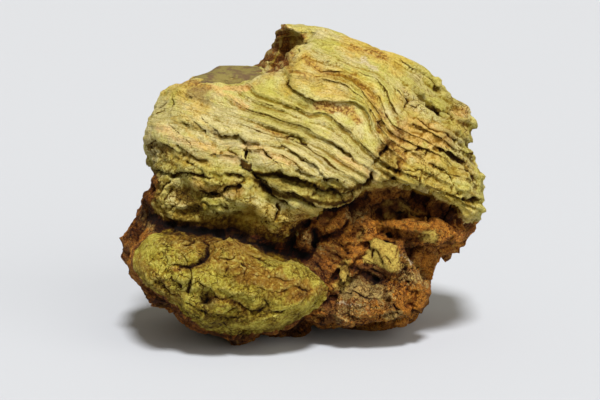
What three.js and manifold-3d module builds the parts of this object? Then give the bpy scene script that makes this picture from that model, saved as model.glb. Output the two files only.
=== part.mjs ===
// A nontronite specimen: a folded, laminated mass of yellow-green clay grown on a rusty limonite matrix.
// It is one natural piece of rock, about 80 mm across, that stands on a flat broken face.
// +Z is up, +X is to the right of the display side and +Y points away from it.
import * as THREE from "three";
import { ImprovedNoise } from "three/addons/math/ImprovedNoise.js";
import { mergeVertices } from "three/addons/utils/BufferGeometryUtils.js";
import Module from "manifold-3d";

// Driving dimensions, in millimetres.
const WIDTH = 80; // the specimen's longest side, left to right
const LAYER = 5.6; // spacing of the main ledges of the folded mass
const LEDGE_RELIEF = 1.5; // how far a ledge stands over the next one
const NOTCH_FLOOR = 56.6; // height of the flat olive parting face just behind the rim
const NOTCH_SLOPE = THREE.MathUtils.degToRad(4); // how much that face rises towards the back
const SHEET = 200; // a cutting block larger than the specimen
const CENTRING = new THREE.Vector2(0.36, -0.27); // brings the middle of the finished box over the origin

// The display side is described as it is seen from in front, a little above, by points of that picture.
const PICTURE = { centreX: 300, centreY: 200, specimenWidth: 360 };
const PIXEL = WIDTH / PICTURE.specimenWidth; // millimetres
const VIEW_DISTANCE = 444;
const VIEW_TILT = THREE.MathUtils.degToRad(12);
const FOCAL = VIEW_DISTANCE / PIXEL; // in pixels
const target = new THREE.Vector3(-1.1, 0, 30);
const forward = new THREE.Vector3(0, Math.cos(VIEW_TILT), -Math.sin(VIEW_TILT));
const upward = new THREE.Vector3(0, Math.sin(VIEW_TILT), Math.cos(VIEW_TILT));
const eye = target.clone().addScaledVector(forward, -VIEW_DISTANCE);

// The real place of a picture point that lies `depth` millimetres behind the specimen's middle.
function place(px, py, depth) {
  const reach = VIEW_DISTANCE + depth;
  return eye
    .clone()
    .addScaledVector(forward, reach)
    .add(new THREE.Vector3(((px - PICTURE.centreX) / FOCAL) * reach, 0, 0))
    .addScaledVector(upward, ((PICTURE.centreY - py) / FOCAL) * reach);
}

// The picture point at which a real place is seen.
function seenAt(point) {
  const ray = point.clone().sub(eye);
  const reach = ray.dot(forward);
  const px = PICTURE.centreX + (FOCAL * ray.x) / reach;
  const py = PICTURE.centreY - (FOCAL * ray.dot(upward)) / reach;
  return new THREE.Vector2(px, py);
}

// Fractal noise from -1 to 1, with its largest lumps `size` millimetres across.
const perlin = new ImprovedNoise();
function rough(point, size, octaves = 3, shift = 0) {
  let sum = 0;
  let weight = 1;
  let scale = 1 / size;
  for (let i = 0; i < octaves; i++) {
    sum += weight * perlin.noise(point.x * scale + shift, point.y * scale + 7.3, point.z * scale - shift);
    weight *= 0.5;
    scale *= 2.03;
  }
  return sum;
}

// Blunt lumps with sharp valleys between them, from 0 to 1.
function knobbly(point, size, shift) {
  return 1 - Math.min(1, Math.abs(rough(point, size, 2, shift)) * 2.2);
}

// Outlines of the specimen's masses, clockwise from the top left.
const OUTLINES = {
  foldedMass: [
    [163, 87], [178, 79], [196, 80], [217, 71], [234, 65], [257, 63], [267, 55], [273, 41], [279, 27],
    [284, 23],
    [299, 28], [335, 36], [356, 47], [386, 54], [400, 63], [431, 82], [457, 107], [471, 112], [474, 124],
    [471, 140], [467, 152], [470, 164], [481, 173], [487, 185], [483, 197], [485, 210], [481, 222],
    [462, 226],
    [433, 222], [400, 222], [370, 220], [345, 218], [318, 224], [299, 234], [287, 248], [272, 247],
    [256, 239],
    [238, 231], [215, 229], [190, 227], [168, 224], [155, 216], [151, 205], [154, 192], [158, 182],
    [157, 174],
    [148, 168], [147, 160], [150, 152], [143, 144], [145, 131], [151, 114], [153, 101],
  ],
  lowerLobe: [
    [143, 240], [153, 233], [171, 227], [193, 226], [203, 231], [219, 229], [236, 229], [254, 238],
    [269, 252],
    [284, 254], [300, 259], [312, 270], [329, 286], [326, 299], [313, 312], [300, 318], [282, 330],
    [258, 333],
    [230, 333], [200, 331], [184, 322], [172, 307], [158, 298], [142, 286], [132, 273], [131, 259],
    [135, 249],
  ],
  matrix: [
    [159, 182], [185, 150], [240, 120], [320, 105], [410, 115], [455, 150], [478, 188], [484, 212],
    [481, 223],
    [473, 232], [468, 243], [453, 250], [441, 258], [432, 266], [427, 274], [430, 287], [427, 299],
    [423, 314],
    [414, 327], [396, 329], [364, 331], [334, 328], [300, 327], [262, 330], [220, 330], [190, 322],
    [160, 305],
    [142, 286], [128, 268], [123, 250], [129, 234], [141, 226], [145, 209], [152, 196],
  ],
  underSlab: [
    [150, 236], [215, 240], [280, 268], [305, 300], [296, 325], [272, 332], [256, 337], [248, 343],
    [238, 347],
    [224, 343], [214, 337], [197, 335], [186, 329], [176, 321], [169, 309], [157, 307], [144, 297],
    [140, 286],
    [131, 277], [125, 260], [124, 248], [133, 238],
  ],
  ironBar: [
    [371, 219], [388, 213], [410, 211], [432, 213], [450, 217], [462, 226], [460, 238], [445, 246],
    [425, 248],
    [405, 245], [388, 239], [375, 231],
  ],
  hollow: [
    [322, 214], [336, 206], [352, 198], [366, 192], [384, 188], [402, 189], [418, 195], [436, 201],
    [452, 208],
    [463, 222], [458, 238], [440, 252], [400, 262], [360, 262], [330, 262], [305, 256], [292, 248],
    [300, 232],
  ],
};

// The layers' course across the display side: each line follows one layer, `level` below the top one.
const LAYER_LINES = [
  { level: 0, points: [[285, 30], [335, 43], [390, 62], [430, 86], [465, 114]] },
  { level: 4, points: [[300, 48], [350, 60], [395, 80], [425, 103], [470, 135]] },
  { level: 8, points: [
    [302, 62], [340, 71], [364, 80], [381, 92], [392, 113], [408, 127], [432, 138], [465, 158],
  ] },
  { level: 10, points: [
    [290, 74], [340, 77], [359, 84], [378, 104], [392, 127], [403, 140], [460, 170],
  ] },
  { level: 13, points: [
    [300, 86], [340, 88], [359, 97], [376, 119], [396, 143], [430, 163], [475, 186],
  ] },
  { level: 16, points: [
    [283, 82], [294, 93], [312, 104], [336, 106], [356, 118], [380, 147], [402, 162], [478, 202],
  ] },
  { level: 20, points: [
    [200, 82], [245, 97], [288, 112], [321, 127], [341, 133], [358, 147], [395, 174],
  ] },
  { level: 24, points: [
    [185, 92], [230, 107], [271, 118], [305, 134], [335, 144], [366, 171], [395, 187],
  ] },
  { level: 28, points: [[160, 100], [205, 112], [250, 132], [305, 149], [345, 172], [365, 183]] },
  { level: 33, points: [[148, 120], [190, 130], [249, 148], [310, 172], [355, 189]] },
  { level: 38, points: [[146, 140], [175, 149], [215, 158], [245, 172], [300, 191], [355, 201]] },
  { level: 44, points: [[150, 165], [185, 172], [215, 183], [270, 205], [330, 213]] },
  { level: 50, points: [[155, 190], [215, 208], [270, 228], [290, 232]] },
];

// Broken edges, each drawn from left to right: the upper side stands `rise` over the lower one.
const BROKEN_EDGES = [
  { rise: 2.6, points: [
    [212, 139], [238, 138], [248, 146], [250, 162], [266, 175], [288, 176], [314, 182], [336, 190],
    [353, 189], [367, 182], [374, 170],
  ] },
  { rise: 1.6, points: [[282, 78], [294, 93], [312, 104], [336, 104], [356, 118]] },
  { rise: 1.4, points: [[262, 184], [281, 191], [312, 199], [352, 198]] },
  { rise: 1.3, points: [[147, 149], [163, 148], [178, 155], [200, 162]] },
  { rise: 1.2, points: [[156, 176], [175, 180], [205, 190], [238, 195], [252, 188]] },
];

// The fold's broken ends stand out over the right end of the mass: drawn downwards, the left side is high.
const FOLD_ENDS = { rise: 2.4, points: [
  [396, 88], [409, 104], [401, 115], [397, 126], [400, 138], [387, 150], [385, 164], [373, 172],
  [368, 182],
] };

// Deep clefts on the display side: half width and depth in millimetres.
const CLEFTS = [
  { half: 1.1, depth: 3.2, points: [[250, 147], [248, 160], [252, 171], [266, 177], [280, 175]] },
  { half: 0.9, depth: 2.0, points: [[366, 186], [374, 172], [386, 160], [396, 150]] },
  { half: 0.9, depth: 1.6, points: [[393, 60], [407, 72], [426, 85], [441, 108]] },
  { half: 1.6, depth: 2.4, points: [[172, 188], [186, 196], [205, 200], [226, 196]] },
  { half: 0.8, depth: 1.4, points: [[352, 190], [353, 200], [368, 198], [372, 186]] },
];

// Distance in millimetres from a picture point to a line, which side it is on, and how far along it lies.
function nearLine(spot, points) {
  let best = { distance: Infinity };
  for (let i = 0; i + 1 < points.length; i++) {
    const [ax, ay] = points[i];
    const dx = points[i + 1][0] - ax;
    const dy = points[i + 1][1] - ay;
    const passed = ((spot.x - ax) * dx + (spot.y - ay) * dy) / (dx * dx + dy * dy);
    const share = THREE.MathUtils.clamp(passed, 0, 1);
    const gapX = spot.x - ax - share * dx;
    const gapY = spot.y - ay - share * dy;
    const distance = Math.hypot(gapX, gapY) * PIXEL;
    if (distance < best.distance) {
      const side = Math.sign(dx * gapY - dy * gapX) || 1;
      best = { distance, side, along: (i + share) / (points.length - 1) };
    }
  }
  return best;
}

// A thin-plate surface through the layer lines gives every picture point its layer level.
function fitLayers(lines) {
  const knots = lines.flatMap((line) => line.points.map(([x, y]) => ({ x, y, level: line.level })));
  const n = knots.length;
  const bend = (d2) => (d2 > 0 ? 0.5 * d2 * Math.log(d2) : 0);
  const span = 100;
  const between = (a, b) => ((a.x - b.x) / span) ** 2 + ((a.y - b.y) / span) ** 2;
  const rows = knots.map((a, i) => [
    ...knots.map((b, j) => bend(between(a, b)) + (i === j ? 0.002 : 0)), 1, a.x / span, a.y / span, a.level,
  ]);
  rows.push([...knots.map(() => 1), 0, 0, 0, 0]);
  rows.push([...knots.map((k) => k.x / span), 0, 0, 0, 0]);
  rows.push([...knots.map((k) => k.y / span), 0, 0, 0, 0]);
  const weights = solve(rows);
  return (spot) => {
    let level = weights[n] + (weights[n + 1] * spot.x + weights[n + 2] * spot.y) / span;
    knots.forEach((k, i) => (level += weights[i] * bend(between(k, spot))));
    return level;
  };
}

// Gaussian elimination: each row holds the coefficients of one equation and its right side.
function solve(rows) {
  const n = rows.length;
  for (let c = 0; c < n; c++) {
    let pivot = c;
    for (let r = c + 1; r < n; r++) if (Math.abs(rows[r][c]) > Math.abs(rows[pivot][c])) pivot = r;
    [rows[c], rows[pivot]] = [rows[pivot], rows[c]];
    for (let r = c + 1; r < n; r++) {
      const factor = rows[r][c] / rows[c][c];
      for (let k = c; k <= n; k++) rows[r][k] -= factor * rows[c][k];
    }
  }
  const answer = new Array(n).fill(0);
  for (let r = n - 1; r >= 0; r--) {
    let rest = rows[r][n];
    for (let k = r + 1; k < n; k++) rest -= rows[r][k] * answer[k];
    answer[r] = rest / rows[r][r];
  }
  return answer;
}
const layerLevel = fitLayers(LAYER_LINES);

// Which ledge a place is on: whole numbers are the ledges' feet, and CREST is the share at their edges.
const CREST = 0.8;
const SLANT = 1.1; // how far the layers move to the left through the depth, in pixels per millimetre
function ledgeAt(spot, depth) {
  const moved = new THREE.Vector2(spot.x + SLANT * depth, spot.y);
  const x = moved.x * PIXEL;
  const y = moved.y * PIXEL;
  const wander = 1.1 * Math.sin(x / 6.1 + 1.4 * Math.sin(y / 7.3)) + 0.7 * Math.sin(y / 4.3 + x / 9.7);
  return (layerLevel(moved) + wander) / LAYER;
}

// Moves a picture point that is close to a ledge's edge or foot onto it, so that the ledges are crisp.
function snapToLedge(spot, depth) {
  const here = ledgeAt(spot, depth);
  const slopeX = ledgeAt(new THREE.Vector2(spot.x + 1, spot.y), depth) - here;
  const slopeY = ledgeAt(new THREE.Vector2(spot.x, spot.y + 1), depth) - here;
  const share = here - Math.floor(here);
  const lines = [0, CREST, 1];
  const nearest = lines.reduce((a, b) => (Math.abs(b - share) < Math.abs(a - share) ? b : a));
  const gap = nearest - share;
  const steep = slopeX * slopeX + slopeY * slopeY;
  if (Math.abs(gap) > 0.28 || steep < 1e-5) return spot;
  return new THREE.Vector2(spot.x + (gap * slopeX) / steep, spot.y + (gap * slopeY) / steep);
}

// How far the folded mass stands out or in at a place: its ledges, broken edges and clefts.
function foldedRelief(point, facing) {
  const ledge = ledgeAt(seenAt(point), point.y);
  const share = ledge - Math.floor(ledge);
  const tread = share < CREST ? share / CREST : (1 - share) / (1 - CREST);
  let relief = LEDGE_RELIEF * (tread - 0.55) * (1 + 0.7 * rough(point, 18, 1, 3));
  relief += 0.3 * rough(point, 9, 2, 5) - 0.2;
  if (facing <= 0) return relief + 1.3 * rough(point, 17, 2, 9);
  const front = THREE.MathUtils.smoothstep(facing, 0.05, 0.4);
  return relief + front * displaySideRelief(seenAt(point));
}

function displaySideRelief(spot) {
  let relief = 0;
  for (const edge of [...BROKEN_EDGES, FOLD_ENDS]) {
    const near = nearLine(spot, edge.points);
    const fade = THREE.MathUtils.smoothstep(Math.min(near.along, 1 - near.along), -0.02, 0.08);
    const step = -Math.tanh((near.side * near.distance) / 0.5) * (edge === FOLD_ENDS ? -1 : 1);
    relief += 0.5 * edge.rise * fade * step * Math.exp(-near.distance / 6);
  }
  for (const cleft of CLEFTS) {
    const near = nearLine(spot, cleft.points);
    relief -= cleft.depth * Math.exp(-((near.distance / cleft.half) ** 2));
  }
  return relief;
}

// The limonite matrix is knobbly and pitted.
function matrixRelief(point) {
  const lumps = 1.9 * rough(point, 12, 2, 11) + 1.5 * rough(point, 6, 2, 13);
  return lumps - 0.9 * knobbly(point, 9, 17) + 0.1;
}

// The lower lobe is rounded, with low swellings and open cracks between them.
const LOBE_CRACKS = [
  { half: 1.0, depth: 1.7, points: [[200, 236], [207, 250], [204, 263], [189, 269], [172, 269]] },
  { half: 1.0, depth: 1.6, points: [[209, 257], [227, 261], [248, 250]] },
  { half: 1.0, depth: 1.3, points: [[190, 269], [190, 280], [184, 296]] },
  { half: 1.2, depth: 1.5, points: [[206, 298], [227, 300], [244, 309]] },
  { half: 1.0, depth: 1.3, points: [[230, 321], [252, 313], [272, 309]] },
  { half: 1.2, depth: 1.4, points: [[262, 262], [268, 276], [284, 292]] },
];
function lobeRelief(point, facing) {
  let relief = 1.0 * rough(point, 12, 2, 21) + 0.9 * rough(point, 6, 2, 27) - 0.3;
  if (facing <= 0) return relief;
  const spot = seenAt(point);
  for (const crack of LOBE_CRACKS) {
    relief -= crack.depth * Math.exp(-((nearLine(spot, crack.points).distance / crack.half) ** 2));
  }
  return relief;
}

// The outline's distance from its centre in a direction, in pixels, as a function of the angle.
function outlineReach(outline, centre) {
  const curve = new THREE.CatmullRomCurve3(
    outline.map(([x, y]) => new THREE.Vector3(x - centre[0], centre[1] - y, 0)), true, "centripetal",
  );
  const points = curve.getPoints(720);
  const rim = points.map((p) => ({ angle: Math.atan2(p.y, p.x), reach: Math.hypot(p.x, p.y) }));
  rim.sort((a, b) => a.angle - b.angle);
  return (angle) => {
    let next = rim.findIndex((p) => p.angle >= angle);
    if (next < 0) next = 0;
    const b = rim[next];
    const a = rim[(next + rim.length - 1) % rim.length];
    const turn = (x) => (x + 4 * Math.PI) % (2 * Math.PI);
    const span = turn(b.angle - a.angle) || 1;
    return a.reach + (b.reach - a.reach) * (turn(angle - a.angle) / span);
  };
}

// A mass blown up from its outline: `front` and `back` are how far it swells either way from `depth`.
function mass(shapeOf) {
  const { outline, centre, depth, lean = [0, 0], front, back, square } = shapeOf;
  const { finer, detail, relief, snap, chips = [] } = shapeOf;
  const geometry = new THREE.IcosahedronGeometry(1, detail);
  geometry.deleteAttribute("normal");
  geometry.deleteAttribute("uv");
  const shape = mergeVertices(geometry, 1e-5);
  const reach = outlineReach(outline, centre);
  const position = shape.getAttribute("position");
  const point = new THREE.Vector3();
  for (let i = 0; i < position.count; i++) {
    point.fromBufferAttribute(position, i).normalize();
    const facing = (-point.y + finer) / (1 - finer * point.y);
    const wide = Math.sqrt(Math.max(0, 1 - facing * facing));
    const angle = Math.atan2(point.z, point.x);
    const r = reach(angle) * Math.pow(wide, 2 / square);
    const seen = new THREE.Vector2(centre[0] + r * Math.cos(angle), centre[1] - r * Math.sin(angle));
    const swell = Math.pow(Math.abs(facing), 2 / square) * (facing > 0 ? -front : back);
    const behind = depth + lean[0] * (seen.x - centre[0]) + lean[1] * (seen.y - centre[1]) + swell;
    if (snap && facing > 0.12) seen.copy(snap(seen, place(seen.x, seen.y, behind).y));
    const spot = place(seen.x, seen.y, behind);
    for (const chip of chips) {
      const over = spot.dot(chip.normal) - chip.distance;
      if (over > 0) spot.addScaledVector(chip.normal, -over * 0.92);
    }
    position.setXYZ(i, spot.x, spot.y, spot.z);
  }
  shape.computeVertexNormals();
  const normal = shape.getAttribute("normal").clone();
  for (let i = 0; i < position.count; i++) {
    point.fromBufferAttribute(position, i);
    const out = new THREE.Vector3().fromBufferAttribute(normal, i);
    point.addScaledVector(out, relief(point, -out.dot(forward)));
    position.setXYZ(i, point.x, point.y, point.z);
  }
  shape.deleteAttribute("normal");
  return shape;
}

// A flat broken face with this outward direction, at this distance from the origin.
function chip(x, y, z, distance) {
  return { normal: new THREE.Vector3(x, y, z).normalize(), distance };
}

const wasm = await Module();
wasm.setup();

function solid(geometry) {
  const closed = mergeVertices(geometry, 1e-5);
  const vertProperties = new Float32Array(closed.getAttribute("position").array);
  const triVerts = new Uint32Array(closed.index.array);
  return new wasm.Manifold(new wasm.Mesh({ numProp: 3, vertProperties, triVerts }));
}

function foldedMass() {
  return solid(mass({
    outline: OUTLINES.foldedMass, centre: [318, 140], depth: 0, lean: [0, -0.035],
    front: 23, back: 25, square: 2.7, finer: 0.5, detail: 14, relief: foldedRelief, snap: snapToLedge,
    chips: [
      chip(-0.6, 0.8, 0.3, 36), chip(0.55, 0.8, 0.1, 30), chip(0.1, 0.75, 0.8, 55), chip(-0.2, 1, -0.1, 23),
    ],
  }));
}

function lowerLobe() {
  return solid(mass({
    outline: OUTLINES.lowerLobe, centre: [228, 282], depth: -12, lean: [0.02, 0],
    front: 14, back: 14, square: 2.3, finer: 0.45, detail: 8, relief: lobeRelief,
  }));
}

function matrix() {
  return solid(mass({
    outline: OUTLINES.matrix, centre: [305, 235], depth: 4, lean: [0.03, 0.02],
    front: 19, back: 21, square: 3.4, finer: 0.45, detail: 9, relief: matrixRelief,
    chips: [
      chip(-0.8, 0.6, -0.1, 32), chip(0.6, 0.75, -0.2, 29), chip(-0.1, 0.7, -0.7, 14),
      chip(-0.25, 1, 0.25, 26), chip(0.25, 1, 0.1, 24.5), chip(-0.5, 0.7, 0.6, 36),
      chip(0.9, 0.3, -0.35, 31), chip(-0.6, 0.5, -0.7, 20),
    ],
  }));
}

function underSlab() {
  return solid(mass({
    outline: OUTLINES.underSlab, centre: [222, 295], depth: -8, front: 9, back: 18,
    square: 2.6, finer: 0, detail: 5, relief: (point) => 0.6 * matrixRelief(point),
  }));
}

function ironBar() {
  return solid(mass({
    outline: OUTLINES.ironBar, centre: [416, 230], depth: -7, front: 8, back: 8,
    square: 2.4, finer: 0.2, detail: 5, relief: (point) => 0.5 * matrixRelief(point),
  }));
}

// The space under the overhang on the right, where the clay skin has broken away from the matrix.
function hollow() {
  return solid(mass({
    outline: OUTLINES.hollow, centre: [385, 228], depth: -28, front: 20, back: 20,
    square: 3.2, finer: -0.2, detail: 5, relief: (point) => 0.8 * rough(point, 6, 2, 31),
  }));
}

// The notch in the top: a flat olive floor at the left, ended by a rusty wall at the right.
const RIM_Y = -7; // the rim in front of the floor
const WALL_X = -9.3;
const FAR_AND_LEFT = [[-60, 40], [-60, 17], [-29, 11], [-25, 0], [-23, RIM_Y]];
function notchPlan() {
  const wall = [];
  for (let y = RIM_Y; y < 42; y += 3.5) {
    wall.push([WALL_X + 2.2 * rough(new THREE.Vector3(0, y, 0), 9, 2, 37), y]);
  }
  return [...wall, ...FAR_AND_LEFT];
}
const ABOVE_RIM = [
  [150, 10], [284, 10], [296, 30], [298, 44], [292, 60], [277, 71], [262, 81], [242, 91], [222, 92],
  [199, 81],
  [180, 78], [163, 84], [150, 84],
];

function notchFloor() {
  const block = prism(notchPlan(), 40);
  block.translate(0, -RIM_Y, 0).rotateX(NOTCH_SLOPE).translate(0, RIM_Y, NOTCH_FLOOR);
  return solid(block);
}

// What lies over the rim and in front of it is open.
function openFront() {
  const plan = ABOVE_RIM.map(([px, py]) => [px - PICTURE.centreX, PICTURE.centreY - py]);
  const block = prism(plan, 40);
  block.scale(PIXEL, PIXEL, 1).rotateX(Math.PI / 2 - VIEW_TILT);
  const start = target.clone().addScaledVector(forward, -5);
  return solid(block.translate(start.x, start.y, start.z));
}

// The rusty hollow in the wall.
function notchScoop() {
  return solid(nodule([277, 56], -5, [5.4, 6.5, 5.2], 5, 0.25, 41));
}

function prism(points, length) {
  const plan = new THREE.Shape(points.map(([x, y]) => new THREE.Vector2(x, y)));
  const block = new THREE.ExtrudeGeometry(plan, { depth: length, steps: 1, bevelEnabled: false });
  block.deleteAttribute("normal");
  block.deleteAttribute("uv");
  return block;
}

// A rough rounded lump, or the space left by one: picture point, depth and half sizes in millimetres.
function nodule([px, py], depth, [rx, ry, rz], detail, unevenness, shift) {
  const geometry = new THREE.IcosahedronGeometry(1, detail);
  geometry.deleteAttribute("normal");
  geometry.deleteAttribute("uv");
  const position = geometry.getAttribute("position");
  const centre = place(px, py, depth);
  const point = new THREE.Vector3();
  for (let i = 0; i < position.count; i++) {
    point.fromBufferAttribute(position, i);
    const r = 1 + unevenness * rough(point.clone().multiplyScalar(6), 7, 2, shift);
    point.set(rx * point.x, ry * point.y, rz * point.z).multiplyScalar(r).add(centre);
    position.setXYZ(i, point.x, point.y, point.z);
  }
  return geometry;
}

// Clasts of matrix that stand out of the broken face: picture point, depth and half sizes in millimetres.
const CLASTS = [
  { at: [303, 240], depth: -9, half: [3.6, 3, 2.6] },
  { at: [366, 212], depth: -8, half: [6.5, 4, 2.4] },
  { at: [318, 231], depth: -9, half: [3.2, 3, 2.4] },
  { at: [330, 247], depth: -10, half: [4.6, 4, 3.6] },
  { at: [347, 230], depth: -8, half: [3.6, 3, 2.8] },
  { at: [353, 262], depth: -10, half: [5.2, 4.5, 4.2] },
  { at: [386, 263], depth: -11, half: [5.6, 4.5, 4.6] },
  { at: [374, 300], depth: -10, half: [8.0, 5.5, 5.0] },
  { at: [404, 292], depth: -9, half: [5.0, 5.0, 6.0] },
  { at: [346, 314], depth: -9, half: [7.5, 5.5, 3.2] },
];

function box(x0, y0, z0, x1, y1, z1) {
  const geometry = new THREE.BoxGeometry(x1 - x0, y1 - y0, z1 - z0);
  geometry.deleteAttribute("normal");
  geometry.deleteAttribute("uv");
  geometry.translate((x0 + x1) / 2, (y0 + y1) / 2, (z0 + z1) / 2);
  return solid(geometry);
}

let rock = foldedMass().subtract(hollow());
rock = rock.subtract(openFront()).subtract(notchFloor()).subtract(notchScoop());
rock = rock.add(matrix()).add(underSlab()).add(lowerLobe()).add(ironBar());
CLASTS.forEach((clast, index) => {
  rock = rock.add(solid(nodule(clast.at, clast.depth, clast.half, 2, 0.4, 5 * index)));
});
rock = rock.subtract(box(-SHEET, -SHEET, -SHEET, SHEET, SHEET, 0));
rock = rock.decompose().sort((a, b) => b.volume() - a.volume())[0];

const made = rock.getMesh();
const surface = new THREE.BufferGeometry();
surface.setAttribute("position", new THREE.BufferAttribute(new Float32Array(made.vertProperties), 3));
surface.setIndex(new THREE.BufferAttribute(new Uint32Array(made.triVerts), 1));
surface.computeVertexNormals();

surface.translate(CENTRING.x, CENTRING.y, 0);

const clay = new THREE.MeshStandardMaterial({ color: 0xc8b968, roughness: 0.95, metalness: 0 });
const specimen = new THREE.Mesh(surface, clay);
specimen.name = "nontronite_specimen";
const group = new THREE.Group();
group.add(specimen);

export default group;
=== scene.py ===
# %% [markdown]
# # A nontronite specimen
# The real object is one hand-sized lump of rock. Its upper half is nontronite, a yellow-green clay in thin
# layers that were folded while soft. Below on the left hangs a rounded, cracked lobe of the same clay, and
# on the right the clay has broken away and shows the rusty limonite that it grew on. There is one piece to
# make, so this lesson is about one surface: it starts from the plain solid, gets a fine even mesh, is
# sculpted by rule in a few passes from large to small, and is painted by masks that a single earthy
# material reads.

# %% Start
import itertools
import math
from collections import namedtuple

import bmesh
import bpy
import numpy as np
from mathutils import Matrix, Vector


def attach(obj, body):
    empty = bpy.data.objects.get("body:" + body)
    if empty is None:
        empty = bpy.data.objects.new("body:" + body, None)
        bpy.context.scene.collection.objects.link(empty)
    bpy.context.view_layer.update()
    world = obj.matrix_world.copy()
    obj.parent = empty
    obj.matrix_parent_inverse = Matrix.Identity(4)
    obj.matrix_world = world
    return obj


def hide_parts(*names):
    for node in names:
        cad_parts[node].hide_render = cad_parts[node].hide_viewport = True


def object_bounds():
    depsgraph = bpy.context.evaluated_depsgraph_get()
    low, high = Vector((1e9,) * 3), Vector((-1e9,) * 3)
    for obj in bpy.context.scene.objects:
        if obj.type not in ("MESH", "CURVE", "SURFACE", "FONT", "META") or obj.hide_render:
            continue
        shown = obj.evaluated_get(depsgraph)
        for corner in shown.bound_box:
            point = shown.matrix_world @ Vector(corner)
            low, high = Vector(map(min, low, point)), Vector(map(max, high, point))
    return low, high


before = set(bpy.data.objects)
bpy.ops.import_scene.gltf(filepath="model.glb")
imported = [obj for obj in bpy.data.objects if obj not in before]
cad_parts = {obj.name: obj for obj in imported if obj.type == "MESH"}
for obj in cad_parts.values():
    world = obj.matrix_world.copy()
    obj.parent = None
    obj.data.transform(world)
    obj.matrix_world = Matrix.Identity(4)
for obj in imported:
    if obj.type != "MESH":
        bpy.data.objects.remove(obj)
CAD_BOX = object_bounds()
NODE = "nontronite_specimen"
MM = 0.001
print("box of the solid, in metres:", [[round(x, 4) for x in corner] for corner in CAD_BOX])

# %% [markdown]
# ## The view
# The display side is drawn as it is seen from in front and 12 degrees above, so the camera comes first. The
# same few numbers turn a place on the specimen, in millimetres, into a point of the 600 by 400 picture.
# Every crack and stain further down is a short line of such picture points, and it lands on whatever
# surface the camera sees there.

# %% Camera and picture points
PICTURE = (600, 400)
SPECIMEN_WIDTH = 80.0
SPECIMEN_WIDTH_IN_PICTURE = 360.0
PIXEL = SPECIMEN_WIDTH / SPECIMEN_WIDTH_IN_PICTURE
VIEW_DISTANCE = 444.0
VIEW_TILT = math.radians(12)
FOCAL = VIEW_DISTANCE / PIXEL
SENSOR = 36.0
CENTRING = (0.36, -0.27)  # from the picture's middle to the middle of the box
TARGET = np.array((-1.1 + CENTRING[0], CENTRING[1], 30.0))
FORWARD = np.array((0.0, math.cos(VIEW_TILT), -math.sin(VIEW_TILT)))
UPWARD = np.array((0.0, math.sin(VIEW_TILT), math.cos(VIEW_TILT)))
EYE = TARGET - VIEW_DISTANCE * FORWARD


def seen_at(places):
    """Picture points of places given in millimetres."""
    ray = places - EYE
    reach = ray @ FORWARD
    across = PICTURE[0] / 2 + FOCAL * ray[:, 0] / reach
    down = PICTURE[1] / 2 - FOCAL * (ray @ UPWARD) / reach
    return np.stack((across, down), axis=1)


def add_camera():
    data = bpy.data.cameras.new("camera")
    data.lens = SENSOR * FOCAL / PICTURE[0]
    data.sensor_width = SENSOR
    data.clip_start = 0.01
    camera = bpy.data.objects.new("camera", data)
    camera.location = EYE * MM
    camera.rotation_euler = (math.pi / 2 - VIEW_TILT, 0, 0)
    bpy.context.scene.collection.objects.link(camera)
    bpy.context.scene.camera = camera
    return camera


camera = add_camera()
print("lens", round(camera.data.lens, 1), "mm")

# %% [markdown]
# ## A fine, even mesh
# The solid has large flat triangles, and relief needs small ones of one size. Sculpting by hand would start
# with a voxel remesh, and so does this: the copied triangles are merged to one closed skin, the Remesh
# modifier gives it even quads, and a few rounds of smooth_vert take the facets away but leave the lumps and
# the overhang. What faces the viewer then gets each quad cut in four, because it is looked at most closely.

# %% Copy, remesh and smooth
VOXEL = 0.74
FACET_SMOOTHING = 8
FINE_WHERE_FACING = 0.2
REST_LAYER = 0.35  # what lies lower than this is the flat underside


def merged_copy(name, source):
    mesh = bpy.data.meshes.new(name)
    bm = bmesh.new()
    bm.from_mesh(source.data)
    bmesh.ops.remove_doubles(bm, verts=bm.verts, dist=0.001 * MM)
    bm.to_mesh(mesh)
    bm.free()
    piece = bpy.data.objects.new(name, mesh)
    bpy.context.scene.collection.objects.link(piece)
    return piece


def remesh(piece, size):
    modifier = piece.modifiers.new("even_skin", "REMESH")
    modifier.mode = "VOXEL"
    modifier.voxel_size = size * MM
    evaluated = piece.evaluated_get(bpy.context.evaluated_depsgraph_get())
    mesh = bpy.data.meshes.new_from_object(evaluated)
    piece.modifiers.clear()
    piece.data = mesh


def facing_camera(normal, place):
    """How squarely a surface faces the camera, from -1 to 1."""
    ray = place - EYE
    ray = ray / np.linalg.norm(ray, axis=-1, keepdims=True)
    return -(normal * ray).sum(-1)


def refine(piece):
    bm = bmesh.new()
    bm.from_mesh(piece.data)
    for _ in range(FACET_SMOOTHING):
        bmesh.ops.smooth_vert(
            bm, verts=bm.verts, factor=0.5, use_axis_x=True, use_axis_y=True, use_axis_z=True
        )
    bm.normal_update()
    front = set()
    for face in bm.faces:
        place = np.array(face.calc_center_median()) / MM
        if facing_camera(np.array(face.normal), place) > FINE_WHERE_FACING and place[2] > REST_LAYER:
            front.update(face.edges)
    bmesh.ops.subdivide_edges(bm, edges=list(front), cuts=1, use_grid_fill=True)
    bmesh.ops.triangulate(bm, faces=[f for f in bm.faces if len(f.verts) > 4])
    bm.to_mesh(piece.data)
    bm.free()


specimen = merged_copy("specimen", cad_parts[NODE])
remesh(specimen, VOXEL)
refine(specimen)
print("points in the sculpting mesh:", len(specimen.data.vertices))

# %% [markdown]
# ## Tools for sculpting by rule
# A rock surface is noise that obeys rules, so three small tools do most of the work: gradient noise for
# soft unevenness, random cells for crazing, crumbs and clods, and a drawn line with its distance for each
# crack. They work on all points at once as arrays of millimetres, which takes a second where a loop over
# points takes minutes. Each has its own seed, so that the specimen is the same every time.

# %% Noise
HASH_STEPS = np.array((73856093, 19349663, 83492791), dtype=np.int64)
LOW_BITS = 0xFFFFFFFF


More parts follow.
